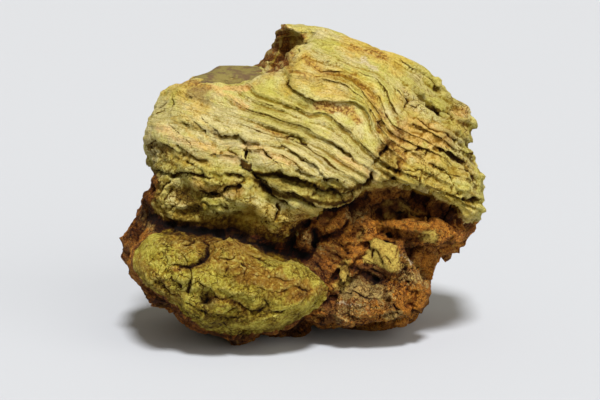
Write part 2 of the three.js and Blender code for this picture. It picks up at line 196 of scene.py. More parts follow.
def scrambled(cells, seed):
    """A random whole number of 32 bits for every whole-numbered cell."""
    key = (cells @ HASH_STEPS + seed * 40503 + 12345) & LOW_BITS
    key = ((key ^ (key >> 15)) * 2246822519) & LOW_BITS
    key = ((key ^ (key >> 13)) * 3266489917) & LOW_BITS
    return key ^ (key >> 16)


def noise(places, seed=0):
    """Gradient noise from about -1 to 1, with features one unit across."""
    cell = np.floor(places).astype(np.int64)
    inside = places - cell
    fade = inside**3 * (inside * (inside * 6 - 15) + 10)
    total = np.zeros(len(places))
    for corner in itertools.product((0, 1), repeat=3):
        corner = np.array(corner)
        key = scrambled(cell + corner, seed)
        turn = (key & 0xFFFF) * (2 * math.pi / 0x10000)
        height = (key >> 16) / 0x8000 - 1
        flat = np.sqrt(np.maximum(0, 1 - height**2))
        gradient = np.stack((flat * np.cos(turn), flat * np.sin(turn), height), axis=1)
        weight = np.prod(np.where(corner == 1, fade, 1 - fade), axis=1)
        total += weight * ((inside - corner) * gradient).sum(1)
    return 1.7 * total


def rough(places, size, octaves=3, seed=0):
    """Fractal noise whose largest features are `size` millimetres across."""
    total = np.zeros(len(places))
    for octave in range(octaves):
        total += 0.5**octave * noise(places * (2.03**octave / size), seed + 31 * octave)
    return total


def ridged(places, size, octaves=3, seed=0):
    """Sharp crests with rounded hollows between them, from about 0 to 1."""
    total = np.zeros(len(places))
    for octave in range(octaves):
        total += 0.5**octave * (1 - np.abs(noise(places * (2.1**octave / size), seed + 17 * octave)) * 2)
    return total / 1.75


def billows(places, size, seed):
    """Rounded swellings with creases between them, from 0 to 1."""
    return 1 - (1 - np.abs(noise(places / size, seed))) ** 2


print("sample of the noise:", noise(np.array(((0.5, 0.5, 0.5), (1.3, 2.7, 3.1)))).round(3))

# %% Random cells
Cells = namedtuple("Cells", "border number slant")


def cells(places, size, seed=0):
    """The way to the next random cell in millimetres, a number for each cell, and its tilted flat face."""
    scaled = places / size
    base = np.floor(scaled).astype(np.int64)
    nearest = np.full(len(places), 9.0)
    second = np.full(len(places), 9.0)
    number = np.zeros(len(places))
    slant = np.zeros(len(places))
    for offset in itertools.product((-1, 0, 1), repeat=3):
        cell = base + np.array(offset)
        key = scrambled(cell, seed)
        jitter = np.stack((key & 0x3FF, (key >> 10) & 0x3FF, (key >> 20) & 0x3FF), axis=1) / 0x400
        away = scaled - cell - 0.1 - 0.8 * jitter
        distance = np.linalg.norm(away, axis=1)
        closer = distance < nearest
        second = np.where(closer, nearest, np.minimum(second, distance))
        nearest = np.where(closer, distance, nearest)
        number = np.where(closer, (key & 0xFFFF) / 0x8000 - 1, number)
        tilt = np.stack(((key >> 4) & 0xFF, (key >> 12) & 0xFF, (key >> 23) & 0xFF), axis=1) / 0x80 - 1
        slant = np.where(closer, (away * tilt).sum(1), slant)
    return Cells((second - nearest) * size / 2, number, slant)


# %% Soft steps and dips
def ease(value, low, high):
    """0 below low, 1 above high, and smooth between them."""
    share = np.clip((value - low) / (high - low), 0, 1)
    return share * share * (3 - 2 * share)


def dip(distance, half):
    """1 on a line and next to nothing beyond twice its half width."""
    return np.exp(-((distance / half) ** 2))


print("halfway up a soft step:", ease(0.5, 0, 1))

# %% [markdown]
# ## The layers
# The clay grew in layers that run down to the right and bend over at the fold. Each row below is the border
# between two layers as it shows on the display side: its depth below the top layer in millimetres, how far
# it gapes from 0 to 1, and its picture points. A thin-plate fit, the bending that a sheet of steel would
# take, makes one smooth field of them. Any point then knows which layer it is on, also on the sides and the
# back, where the layers run on through the lump at a slant.

# %% Borders of the layers
BORDERS = (
    (0.0, 0.3, (285, 30), (335, 43), (390, 62), (430, 86), (465, 114)),
    (2.5, 0.25, (290, 39), (310, 40), (320, 47), (345, 56), (375, 66), (400, 80), (430, 100), (468, 124)),
    (5.0, 0.3, (298, 50), (320, 57), (345, 65), (372, 74), (392, 88), (404, 104), (430, 118), (466, 142)),
    (8.0, 1.0, (306, 58), (322, 66), (337, 72), (348, 77), (358, 79), (372, 82), (381, 89), (386, 98),
     (388, 106), (391, 113), (396, 122), (408, 127), (432, 138), (465, 158)),
    (9.6, 1.0, (292, 69), (320, 75), (333, 78), (344, 79), (356, 84), (366, 90), (375, 98), (381, 108),
     (384, 117), (389, 127), (396, 132), (410, 138), (434, 150), (468, 168)),
    (11.2, 0.9, (290, 73), (318, 80), (331, 81), (342, 84), (353, 91), (362, 98), (370, 105), (375, 112),
     (379, 118), (384, 128), (393, 137), (412, 147), (438, 160), (472, 176)),
    (12.8, 0.8, (290, 78), (306, 82), (322, 84), (337, 87), (347, 92), (356, 99), (364, 106), (369, 112),
     (373, 119), (377, 130), (386, 141), (402, 151), (430, 165), (475, 186)),
    (15.0, 0.6, (283, 80), (287, 89), (295, 95), (306, 101), (319, 105), (333, 105), (347, 104), (356, 106),
     (364, 112), (370, 123), (376, 136), (386, 150), (402, 162), (440, 182), (478, 200)),
    (17.3, 0.6, (244, 84), (258, 95), (275, 102), (287, 106), (298, 111), (308, 115), (318, 115),
     (328, 118), (337, 125), (345, 132), (354, 141), (364, 151), (378, 162), (398, 174), (432, 190)),
    (18.9, 0.5, (232, 90), (246, 99), (262, 107), (280, 113), (296, 118), (310, 123), (322, 126),
     (332, 131), (341, 139), (350, 149), (360, 158)),
    (21.0, 0.7, (206, 86), (228, 101), (246, 111), (270, 119), (290, 127), (306, 132), (317, 137),
     (328, 142), (337, 147), (344, 153), (352, 160), (367, 169)),
    (23.2, 0.4, (176, 94), (190, 100), (206, 108), (222, 114), (240, 119), (262, 127), (285, 134),
     (306, 141), (322, 150), (334, 159), (346, 168)),
    (25.3, 0.8, (150, 108), (168, 109), (186, 112), (205, 117), (224, 122), (241, 127), (253, 132),
     (265, 137), (284, 141), (295, 144), (306, 150), (316, 158), (328, 166), (342, 175)),
    (27.4, 0.5, (148, 122), (170, 123), (188, 127), (205, 132), (218, 137), (238, 140), (262, 147),
     (275, 150), (285, 151), (295, 156), (306, 161), (316, 167), (330, 177)),
    (29.2, 0.6, (147, 136), (165, 137), (180, 140), (195, 143), (212, 147), (226, 150), (242, 151),
     (258, 153), (275, 157), (286, 163), (298, 171), (314, 179)),
    (31.4, 0.7, (150, 146), (166, 148), (180, 151), (195, 152), (206, 155), (216, 158), (226, 157),
     (238, 160), (250, 168), (264, 174), (278, 172), (288, 175), (302, 181), (315, 184), (338, 191)),
    (34.4, 0.6, (150, 157), (166, 158), (180, 161), (194, 166), (206, 172), (222, 176), (240, 177),
     (258, 183), (268, 189), (281, 193), (298, 195), (310, 200), (334, 203)),
    (38.0, 0.4, (156, 168), (172, 172), (188, 177), (204, 181), (224, 184), (240, 186), (254, 190),
     (268, 197), (284, 203), (300, 208), (318, 211)),
    (42.0, 0.3, (164, 188), (180, 193), (198, 197), (214, 197), (230, 198), (244, 201), (258, 208),
     (272, 216), (288, 221), (304, 223)),
    (46.0, 0.3, (160, 204), (178, 208), (198, 210), (216, 212), (234, 214), (250, 219), (266, 228),
     (282, 235)),
    (50.0, 0.2, (164, 218), (186, 222), (208, 225), (232, 226), (252, 233), (272, 241)),
)
print("drawn borders:", len(BORDERS))

# %% Layer field
PLATE_SPAN = 100.0  # picture pixels to one unit of the fit
PLATE_GIVE = 0.0005  # how little the fit may miss the drawn points
LAYER_SLANT = 1.1  # pixels to the left for each millimetre of depth behind the middle
SLANT_STARTS = 4.0  # millimetres behind the middle
SLANT_BEND = 5.0  # and how softly it starts


def bending(a, b):
    squared = ((a[:, None, :] - b[None, :, :]) ** 2).sum(2)
    return 0.5 * squared * np.log(np.maximum(squared, 1e-12))


def fit_layers(borders):
    knots = np.array([point for _, _, *points in borders for point in points]) / PLATE_SPAN
    levels = np.array([level for level, _, *points in borders for _ in points])
    flat = np.hstack((np.ones((len(knots), 1)), knots))
    stiff = bending(knots, knots) + PLATE_GIVE * np.eye(len(knots))
    system = np.block([[stiff, flat], [flat.T, np.zeros((3, 3))]])
    weights = np.linalg.solve(system, np.concatenate((levels, np.zeros(3))))

    def level_at(spots):
        spots = spots / PLATE_SPAN
        return np.concatenate([
            bending(some, knots) @ weights[:-3] + weights[-3] + some @ weights[-2:]
            for some in np.array_split(spots, 1 + len(spots) // 20000)
        ])

    return level_at


level_at = fit_layers(BORDERS)


def layers_at(spots, depth):
    """The layer of picture points that lie at a depth, in millimetres below the top layer."""
    behind = SLANT_BEND * np.log1p(np.exp((depth - SLANT_STARTS) / SLANT_BEND))
    return level_at(spots + np.stack((LAYER_SLANT * behind, np.zeros(len(depth))), axis=1))


print("layer at the picture's middle:", level_at(np.array(((300.0, 200.0),))).round(1), "mm down")

# %% [markdown]
# ## Drawn lines
# A crack, the broken edge of a layer or a stain is a line of a few picture points. For every point of the
# surface the nearest place on the line says how far off it is, on which side, and how far along, and that
# is enough to cut a groove, raise one side over the other, or colour a streak with a ragged edge.

# %% Distance to a drawn line
Near = namedtuple("Near", "distance gap side along")


def near_line(spots, points):
    """Millimetres to the line, gap in pixels, side (1 below a line drawn rightwards), share of length."""
    points = np.array(points, float)
    distance = np.full(len(spots), np.inf)
    gap = np.zeros_like(spots)
    side = np.ones(len(spots))
    along = np.zeros(len(spots))
    for i, (start, end) in enumerate(zip(points, points[1:])):
        step = end - start
        share = np.clip(((spots - start) @ step) / (step @ step), 0, 1)
        miss = spots - start - share[:, None] * step
        length = np.hypot(miss[:, 0], miss[:, 1])
        closer = length < distance
        distance[closer] = length[closer]
        gap[closer] = miss[closer]
        side[closer] = np.where(step[0] * miss[:, 1] - step[1] * miss[:, 0] < 0, -1, 1)[closer]
        along[closer] = ((i + share) / (len(points) - 1))[closer]
    return Near(distance * PIXEL, gap, side, along)


def depth_inside(spots, outline):
    """How many millimetres picture points lie inside a closed outline; negative outside."""
    closed = list(outline) + [outline[0]]
    distance = near_line(spots, closed).distance
    crossings = np.zeros(len(spots), int)
    for (x0, y0), (x1, y1) in zip(closed, closed[1:]):
        if y0 == y1:
            continue
        spans = (y0 > spots[:, 1]) != (y1 > spots[:, 1])
        crossings += spans & (spots[:, 0] < x0 + (spots[:, 1] - y0) * (x1 - x0) / (y1 - y0))
    return np.where(crossings % 2 == 1, distance, -distance)


ten_below = np.array(((5.0, 10.0),))
print("ten pixels off a line:", near_line(ten_below, ((0, 0), (9, 0))).distance.round(2), "mm")

# %% [markdown]
# ## The sculpting surface
# The mesh's points are kept as one array while they are moved. relax averages each point with its
# neighbours, which is what a smoothing brush does, and outward asks Blender for the normals after each
# pass, so that the next pass pushes along the new surface.

# %% Reading and writing the mesh
def read_places(piece):
    flat = np.empty(len(piece.data.vertices) * 3, np.float32)
    piece.data.vertices.foreach_get("co", flat)
    return flat.reshape(-1, 3).astype(float) / MM


def write_places(piece, places):
    piece.data.vertices.foreach_set("co", (places * MM).astype(np.float32).ravel())
    piece.data.update()


def outward(piece, places):
    write_places(piece, places)
    flat = np.empty(len(places) * 3, np.float32)
    piece.data.vertex_normals.foreach_get("vector", flat)
    return flat.reshape(-1, 3).astype(float)


def neighbours(piece):
    flat = np.empty(len(piece.data.edges) * 2, np.int32)
    piece.data.edges.foreach_get("vertices", flat)
    return flat.reshape(-1, 2)


def relax(values, edges, rounds, share=0.5):
    """Each value moves towards the mean of its neighbours."""
    values = values.reshape(len(values), -1)
    count = np.bincount(edges.ravel(), minlength=len(values))[:, None]
    for _ in range(rounds):
        total = np.stack([
            np.bincount(edges[:, 0], column[edges[:, 1]], len(values))
            + np.bincount(edges[:, 1], column[edges[:, 0]], len(values))
            for column in values.T
        ], axis=1)
        values = values + share * (total / count - values)
    return values.squeeze()


edges = neighbours(specimen)
places = read_places(specimen)
resting = places[:, 2] < REST_LAYER
print("edges:", len(edges), "points that rest on the floor:", int(resting.sum()))

# %% The display side as it is now
WOBBLE = 1.8  # pixels by which a drawn line wanders over some 3 mm
TREMBLE = 0.9  # and over less than 1 mm
NORMAL_SMOOTHING = 3
FRONT_SMOOTHING = 40
wobble = WOBBLE * np.stack((rough(places, 3.0, 3, 71), rough(places, 3.0, 3, 72)), axis=1)
wobble += TREMBLE * np.stack((noise(places / 0.9, 73), noise(places / 0.9, 74)), axis=1)
View = namedtuple("View", "normals front spots wobbly")


def look(places):
    """Normals, the share that faces the camera, picture points, and the same points made ragged."""
    normals = outward(specimen, relax(places, edges, NORMAL_SMOOTHING))
    broad_normals = outward(specimen, relax(places, edges, FRONT_SMOOTHING))
    front = ease(facing_camera(broad_normals, places), -0.15, 0.15)
    spots = seen_at(places)
    return View(normals, front, spots, spots + wobble)


view = look(places)
layer = layers_at(view.spots, places[:, 1] - CENTRING[1])
print("layers run from", round(float(layer.min()), 1), "to", round(float(layer.max()), 1), "mm")

# %% [markdown]
# ## Clay, lobe and limonite
# The three grounds of the specimen break in different ways, so each point gets a share of each: the folded
# clay, the rounded lobe at the lower left, and the limonite wherever there is no clay. Their borders are
# drawn on the display side and made ragged with noise. The flat olive face behind the rim and the rusty
# wall beside it are found from their height and the way they face. Seen from above, the olive face is a
# rounded patch with a wandering border.

# %% Grounds
FOLDED_CLAY = (
    (100, 168), (148, 168), (157, 174), (159, 182), (153, 194), (150, 205), (153, 212), (160, 219),
    (171, 225), (191, 227), (209, 229), (228, 228), (241, 230), (258, 237), (271, 242), (285, 244),
    (295, 238), (299, 229), (311, 219), (320, 215), (332, 209), (346, 203), (356, 199), (363, 194),
    (374, 189), (396, 187), (416, 194), (433, 199), (447, 203), (456, 211), (463, 223), (474, 222),
    (520, 215), (520, -20), (100, -20),
)
LOBE = (
    (143, 241), (153, 234), (171, 228), (193, 227), (203, 232), (219, 230), (236, 230), (254, 239),
    (267, 252), (284, 254), (300, 260), (312, 271), (329, 287), (326, 299), (313, 312), (300, 318),
    (282, 330), (258, 334), (230, 334), (206, 331), (190, 318), (176, 305), (158, 295), (144, 283),
    (134, 271), (132, 259), (136, 249),
)
NOTCH_FLOOR = 56.6
NOTCH_FRONT = -8.0
NOTCH_WALL_X = -9.3
OLIVE_FROM_X = 200  # where it starts in the picture
OLIVE_MIDDLE = (-17.0, 1.0)  # from above, in millimetres
OLIVE_REACH = (8.6, 10.5)


def olive_and_wall(places, view, in_notch, wander):
    """The shares of the flat olive face and of the rusty wall beside it."""
    level = ease(view.normals[:, 2], 0.45, 0.7)
    olive = in_notch * level * ease(NOTCH_WALL_X + 1.5 + wander - places[:, 0], 0, 1.5)
    olive *= ease(view.wobbly[:, 0] - 4 * wander, OLIVE_FROM_X, OLIVE_FROM_X + 3)
    across, along = (np.abs(places[:, :2] - OLIVE_MIDDLE) / OLIVE_REACH).T
    olive *= ease(1 + 0.15 * wander - across**3 - along**3, 0, 0.15)
    at_wall = ease(-np.abs(places[:, 0] - NOTCH_WALL_X - 2), -5.5, -3.5)
    wall = in_notch * at_wall * ease(-view.normals[:, 0] - 0.4 * view.normals[:, 1], 0.05, 0.45)
    return olive, wall


def grounds(places, view):
    """The shares of folded clay, lobe, limonite, and the olive face and rusty wall of the notch."""
    ragged = 0.7 * rough(places, 3.0, 3, 5)
    wander = 2.4 * rough(places, 6.0, 2, 17)
    in_notch = ease(places[:, 2] + 0.5 * wander, NOTCH_FLOOR - 1.6, NOTCH_FLOOR - 0.8)
    in_notch *= ease(places[:, 1] + np.minimum(wander, 0), NOTCH_FRONT - 0.5, NOTCH_FRONT + 0.5)
    olive, wall = olive_and_wall(places, view, in_notch, wander)
    folded = ease(depth_inside(view.spots, FOLDED_CLAY) + ragged, -0.4, 0.4)
    lobed = ease(depth_inside(view.spots, LOBE) + 0.6 * ragged, -0.3, 0.4) * ease(-places[:, 1], 1, 5)
    limonite = (1 - np.maximum(folded, lobed)) * (1 - olive)
    return folded * (1 - lobed) * (1 - olive), lobed, limonite, olive, wall


folded, lobed, limonite, olive_face, rusty_shaded_wall = grounds(places, view)
shares = (("clay", folded), ("lobe", lobed), ("limonite", limonite))
print("shares:", {name: round(float(share.mean()), 2) for name, share in shares})

# %% [markdown]
# ## Cracks and broken edges
# These are the lines that can be told apart on the display side. A row starts with half the crack's width,
# its depth, and how far the side above the line stands over the side below it, all in millimetres, and its
# picture points follow. The step fades out within a reach that is longest in the layers. Points of the mesh
# that lie close to a line are first pulled onto it, so that a crack is as sharp as the mesh allows.

# %% Open clefts in the clay
Crack = namedtuple("Crack", "half deep step points reach")
CLAY_REACH = 2.2
LOBE_REACH = 1.2
LIMONITE_REACH = 1.6


def drawn_cracks(reach, rows):
    return [Crack(half, deep, step, points, reach) for half, deep, step, *points in rows]


OPEN_CLEFTS = drawn_cracks(CLAY_REACH, (
    (0.6, 1.2, 1.0, (218, 139), (238, 139), (248, 146)),
    (0.4, 1.1, 0.6, (249, 147), (248, 158), (251, 168), (260, 174), (270, 174)),
    (0.4, 1.9, 1.5, (250, 168), (262, 174), (280, 171), (290, 176), (304, 182), (320, 187), (336, 189),
     (352, 188), (366, 182), (376, 172)),
    (0.5, 1.6, 1.3, (260, 179), (268, 187), (276, 192), (290, 197), (310, 201), (326, 200), (352, 197)),
    (0.4, 1.0, 0.5, (252, 172), (262, 187), (274, 198), (288, 206), (304, 210)),
    (0.5, 1.2, 0.7, (150, 172), (164, 173), (178, 176), (192, 177), (206, 178), (218, 180)),
    (0.5, 1.1, 0.8, (224, 175), (236, 176), (246, 182)),
    (0.7, 1.5, 0.8, (374, 173), (368, 186), (362, 194)),
    (0.35, 0.8, 0.7, (386, 144), (384, 154), (378, 163), (373, 172)),
    (0.5, 0.8, 0.0, (398, 163), (399, 171), (394, 176)),
    (0.35, 0.8, 0.6, (393, 61), (401, 68), (408, 73), (418, 79), (428, 85), (434, 91), (441, 98)),
    (0.7, 1.5, 0.8, (428, 103), (436, 109), (443, 110), (452, 110)),
    (0.6, 1.4, 0.7, (149, 147), (158, 146), (167, 150), (176, 156)),
    (0.4, 0.8, 0.6, (172, 149), (184, 154), (198, 162), (212, 165)),
    (0.7, 0.9, 0.4, (156, 221), (176, 226), (206, 229), (236, 231), (262, 244), (284, 252)),
    (0.5, 1.3, 0.7, (196, 193), (208, 195), (222, 194), (229, 189), (240, 187), (248, 182)),
    (0.6, 1.3, 0.7, (432, 149), (440, 154), (450, 160), (458, 164), (466, 166)),
    (0.5, 1.3, 0.5, (452, 200), (462, 203), (482, 202)),
    (0.3, 0.4, 0.5, (282, 76), (288, 84), (286, 90), (294, 94), (304, 101), (314, 106), (334, 104)),
))
print("open clefts:", len(OPEN_CLEFTS))

# %% Broken edges of layers
LAYER_EDGES = drawn_cracks(CLAY_REACH, (
    (0.12, 0.15, 0.4, (184, 114), (196, 126), (206, 136), (214, 146), (222, 154)),
    (0.12, 0.15, 0.4, (192, 112), (206, 124), (218, 136), (228, 146)),
    (0.12, 0.15, 0.4, (178, 120), (190, 132), (200, 142), (210, 154)),
    (0.12, 0.15, 0.3, (164, 124), (178, 134), (190, 146), (196, 154)),
    (0.12, 0.15, 0.4, (212, 118), (226, 128), (238, 138)),
    (0.2, 0.3, 0.3, (172, 98), (173, 108), (172, 120)),
    (0.12, 0.15, 0.4, (151, 114), (161, 110), (170, 103)),
    (0.12, 0.15, 0.3, (149, 120), (158, 116), (168, 110)),
    (0.2, 0.4, 0.5, (254, 147), (262, 153), (271, 162), (281, 169)),
    (0.2, 0.4, 0.5, (276, 142), (290, 154), (306, 164), (322, 172)),
    (0.2, 0.4, 0.4, (280, 138), (300, 142), (316, 154), (328, 162)),
    (0.2, 0.5, 0.4, (326, 142), (336, 150), (346, 158), (352, 163), (362, 166)),
    (0.25, 0.7, 0.4, (290, 172), (306, 177), (320, 180), (336, 184), (352, 185)),
    (0.35, 0.6, 0.3, (344, 157), (349, 158), (352, 162)),
    (0.3, 0.8, 0.5, (172, 180), (163, 190), (156, 200)),
    (0.35, 0.8, 0.6, (179, 186), (170, 196), (163, 206), (158, 212)),
    (0.3, 0.7, 0.4, (166, 179), (158, 189), (152, 199)),
    (0.3, 0.8, 0.4, (184, 198), (177, 206), (170, 215)),
    (0.3, 0.8, 0.6, (200, 203), (210, 208), (222, 207), (232, 213)),
    (0.3, 0.7, 0.4, (226, 203), (229, 209), (227, 215)),
    (0.3, 0.8, 0.5, (212, 213), (224, 216), (236, 214), (248, 219)),
    (0.3, 0.7, 0.4, (262, 226), (268, 219), (266, 212)),
    (0.25, 0.7, 0.5, (184, 163), (192, 166), (199, 170)),
    (0.4, 0.8, 0.0, (212, 158), (216, 159)),
    (0.4, 0.8, 0.0, (220, 154), (224, 156)),
    (0.25, 0.6, 0.3, (226, 151), (233, 155), (238, 161)),
    (0.3, 0.9, 0.0, (276, 203), (279, 213), (275, 224)),
    (0.3, 0.9, 0.2, (352, 190), (353, 200)),
    (0.25, 0.8, 0.2, (315, 192), (316, 196), (312, 201)),
    (0.5, 0.7, 0.0, (377, 123), (380, 131)),
    (0.3, 0.5, 0.3, (385, 148), (385, 154)),
    (0.35, 0.9, 0.3, (395, 151), (396, 155)),
    (0.3, 0.5, 0.6, (391, 88), (398, 95), (410, 103), (404, 112), (397, 119)),
    (0.3, 0.7, 0.3, (410, 110), (418, 110)),
    (0.25, 0.5, 0.5, (410, 119), (420, 125), (432, 131), (446, 139), (458, 147), (465, 152)),
    (0.2, 0.4, 0.4, (404, 124), (414, 129), (426, 135), (440, 142), (452, 149), (460, 157)),
    (0.25, 0.5, 0.5, (398, 141), (412, 146), (421, 150), (432, 152)),
    (0.3, 0.7, 0.4, (397, 157), (410, 154), (418, 151), (426, 153), (424, 160)),
    (0.3, 0.7, 0.4, (424, 165), (434, 167), (440, 171), (448, 179), (456, 189), (460, 199)),
    (0.35, 0.8, 0.4, (460, 166), (470, 176), (476, 188)),
    (0.25, 0.7, 0.4, (400, 171), (412, 174), (424, 172)),
    (0.25, 0.6, 0.3, (384, 168), (396, 173), (410, 179), (420, 181)),
    (0.25, 0.8, 0.0, (421, 177), (417, 183), (419, 187), (415, 193)),
    (0.25, 0.6, 0.0, (421, 181), (431, 180)),
    (0.25, 0.6, 0.3, (380, 185), (392, 181), (400, 187), (412, 189)),
    (0.3, 0.7, 0.3, (438, 112), (446, 118), (451, 121), (452, 127)),
))
print("broken edges:", len(LAYER_EDGES))

# %% Cracks of the lobe
LOBE_CRACKS = drawn_cracks(LOBE_REACH, (
    (0.25, 0.6, 0.1, (182, 247), (191, 246), (200, 240), (204, 238)),
    (0.25, 0.81, 0.0, (203, 239), (207, 246), (209, 256), (203, 262), (197, 266), (190, 268), (180, 267),
     (169, 268)),
    (0.2, 0.42, 0.1, (175, 250), (183, 256), (187, 262), (190, 268)),
    (0.25, 0.81, 0.1, (190, 268), (192, 278), (189, 288), (189, 298)),
    (0.2, 0.5, 0.1, (210, 257), (217, 260), (226, 260), (232, 259), (243, 255)),
    (0.2, 0.3, 0.1, (226, 260), (228, 269), (224, 277)),
    (0.12, 0.12, 0.2, (210, 269), (218, 276), (226, 278), (236, 278), (245, 281)),
    (0.35, 0.42, -0.3, (241, 262), (247, 269), (245, 280)),
    (0.2, 0.3, 0.1, (243, 256), (252, 258), (264, 262), (276, 268)),
    (0.9, 0.72, 0.0, (204, 296), (208, 300), (205, 305)),
    (0.3, 0.48, 0.4, (208, 291), (214, 298), (226, 300), (231, 297), (240, 294)),
    (0.35, 0.54, 0.6, (229, 302), (240, 306), (250, 311), (262, 309)),
    (0.7, 0.66, 0.2, (249, 312), (258, 313), (266, 309)),
    (0.3, 0.54, 0.3, (197, 309), (204, 313), (216, 318), (228, 321), (240, 317), (252, 314)),
    (0.3, 0.42, 0.2, (212, 313), (222, 316), (232, 313), (240, 309)),
    (0.2, 0.3, 0.2, (264, 298), (268, 304), (268, 311)),
    (0.2, 0.3, 0.2, (224, 320), (227, 327)),
    (0.25, 0.36, 0.3, (248, 286), (262, 290), (270, 294), (284, 292), (290, 287)),
    (0.3, 0.42, 0.3, (288, 288), (298, 287), (305, 291), (309, 296)),
    (0.25, 0.3, 0.3, (262, 278), (276, 278), (284, 282), (296, 281)),
    (0.2, 0.36, 0.2, (158, 282), (166, 288), (172, 296), (180, 299)),
    (0.2, 0.3, 0.2, (148, 272), (152, 279), (160, 286)),
    (0.2, 0.3, 0.2, (170, 276), (176, 284), (184, 290)),
    (0.2, 0.3, 0.2, (152, 246), (164, 248), (176, 247)),
    (0.2, 0.3, 0.1, (163, 255), (170, 262), (178, 267)),
    (0.25, 0.36, 0.2, (190, 288), (198, 284), (206, 288), (212, 294)),
    (0.2, 0.3, 0.1, (184, 304), (192, 306), (198, 310)),
    (0.2, 0.36, 0.2, (270, 312), (280, 314), (292, 311)),
))
print("cracks of the lobe:", len(LOBE_CRACKS))

# %% Cracks of the limonite, and its yellow patch
LIMONITE_CRACKS = drawn_cracks(LIMONITE_REACH, (
    (1.0, 1.2, 0.6, (288, 238), (300, 229), (314, 222), (330, 215), (344, 209), (356, 205)),
    (0.9, 1.08, 0.3, (298, 230), (294, 240), (291, 250), (300, 256), (313, 256)),
    (0.6, 0.96, 0.2, (313, 231), (316, 241), (312, 251)),
    (0.5, 0.72, 0.2, (316, 240), (330, 237), (345, 228), (351, 218)),
    (0.5, 0.72, 1.1, (376, 226), (388, 231), (402, 233), (418, 237), (432, 237)),
    (0.4, 0.66, 0.6, (396, 241), (402, 250), (414, 252), (424, 247), (436, 246)),
    (0.5, 0.66, 0.8, (384, 210), (400, 213), (418, 216), (436, 218)),
    (0.5, 0.72, 0.5, (345, 267), (356, 268), (366, 273), (374, 279), (386, 283)),
    (0.3, 0.48, -0.3, (366, 269), (376, 273), (386, 280)),
    (0.25, 0.48, 0.4, (371, 248), (377, 258), (384, 267)),
    (0.25, 0.48, 0.3, (383, 253), (387, 261), (392, 266)),
    (0.3, 0.54, 0.3, (365, 243), (370, 252), (368, 262)),
    (0.3, 0.54, 0.6, (380, 241), (392, 242), (397, 248), (396, 258)),
    (0.3, 0.48, 0.3, (350, 265), (347, 275), (342, 286)),
    (0.6, 0.78, 0.2, (452, 219), (457, 226), (453, 234)),
    (0.5, 0.72, 0.8, (384, 291), (388, 300), (394, 307), (400, 312)),
    (0.4, 0.54, 0.3, (378, 312), (381, 320), (380, 327)),
    (0.3, 0.48, 0.4, (397, 273), (410, 269), (421, 270)),
    (0.35, 0.48, 0.5, (386, 312), (398, 314), (410, 318), (420, 319)),
    (0.6, 0.78, 1.3, (298, 318), (312, 313), (330, 310), (344, 312), (356, 319), (372, 322)),
    (0.3, 0.42, 0.5, (312, 260), (322, 271), (326, 283)),
    (0.3, 0.42, 0.3, (330, 262), (338, 273), (333, 284)),
    (0.3, 0.48, 0.4, (322, 252), (334, 256), (342, 262)),
    (0.4, 0.6, 0.4, (336, 244), (344, 250), (350, 258)),
    (0.35, 0.48, 0.4, (340, 296), (354, 292), (366, 298), (380, 300)),
    (0.35, 0.54, 0.5, (398, 278), (410, 286), (420, 296)),
))
YELLOW_PATCH = (
    (366, 242), (372, 236), (380, 241), (392, 242), (397, 250), (402, 256), (400, 268), (393, 275),
    (384, 271), (374, 268), (362, 264), (360, 256), (366, 250),
)
print("cracks of the limonite:", len(LIMONITE_CRACKS))

# %% [markdown]
# ## Wide hollows and swellings
# Some forms are too small for the solid and too wide for a crack: the nose of the folded mass, the hollow
# behind the lobe, the swelling of a single fold. In hand sculpting they would be one stroke of a brush, and
# here each is a drawn line too: its reach, how deep it sinks (less than 0 where it swells), and its points.

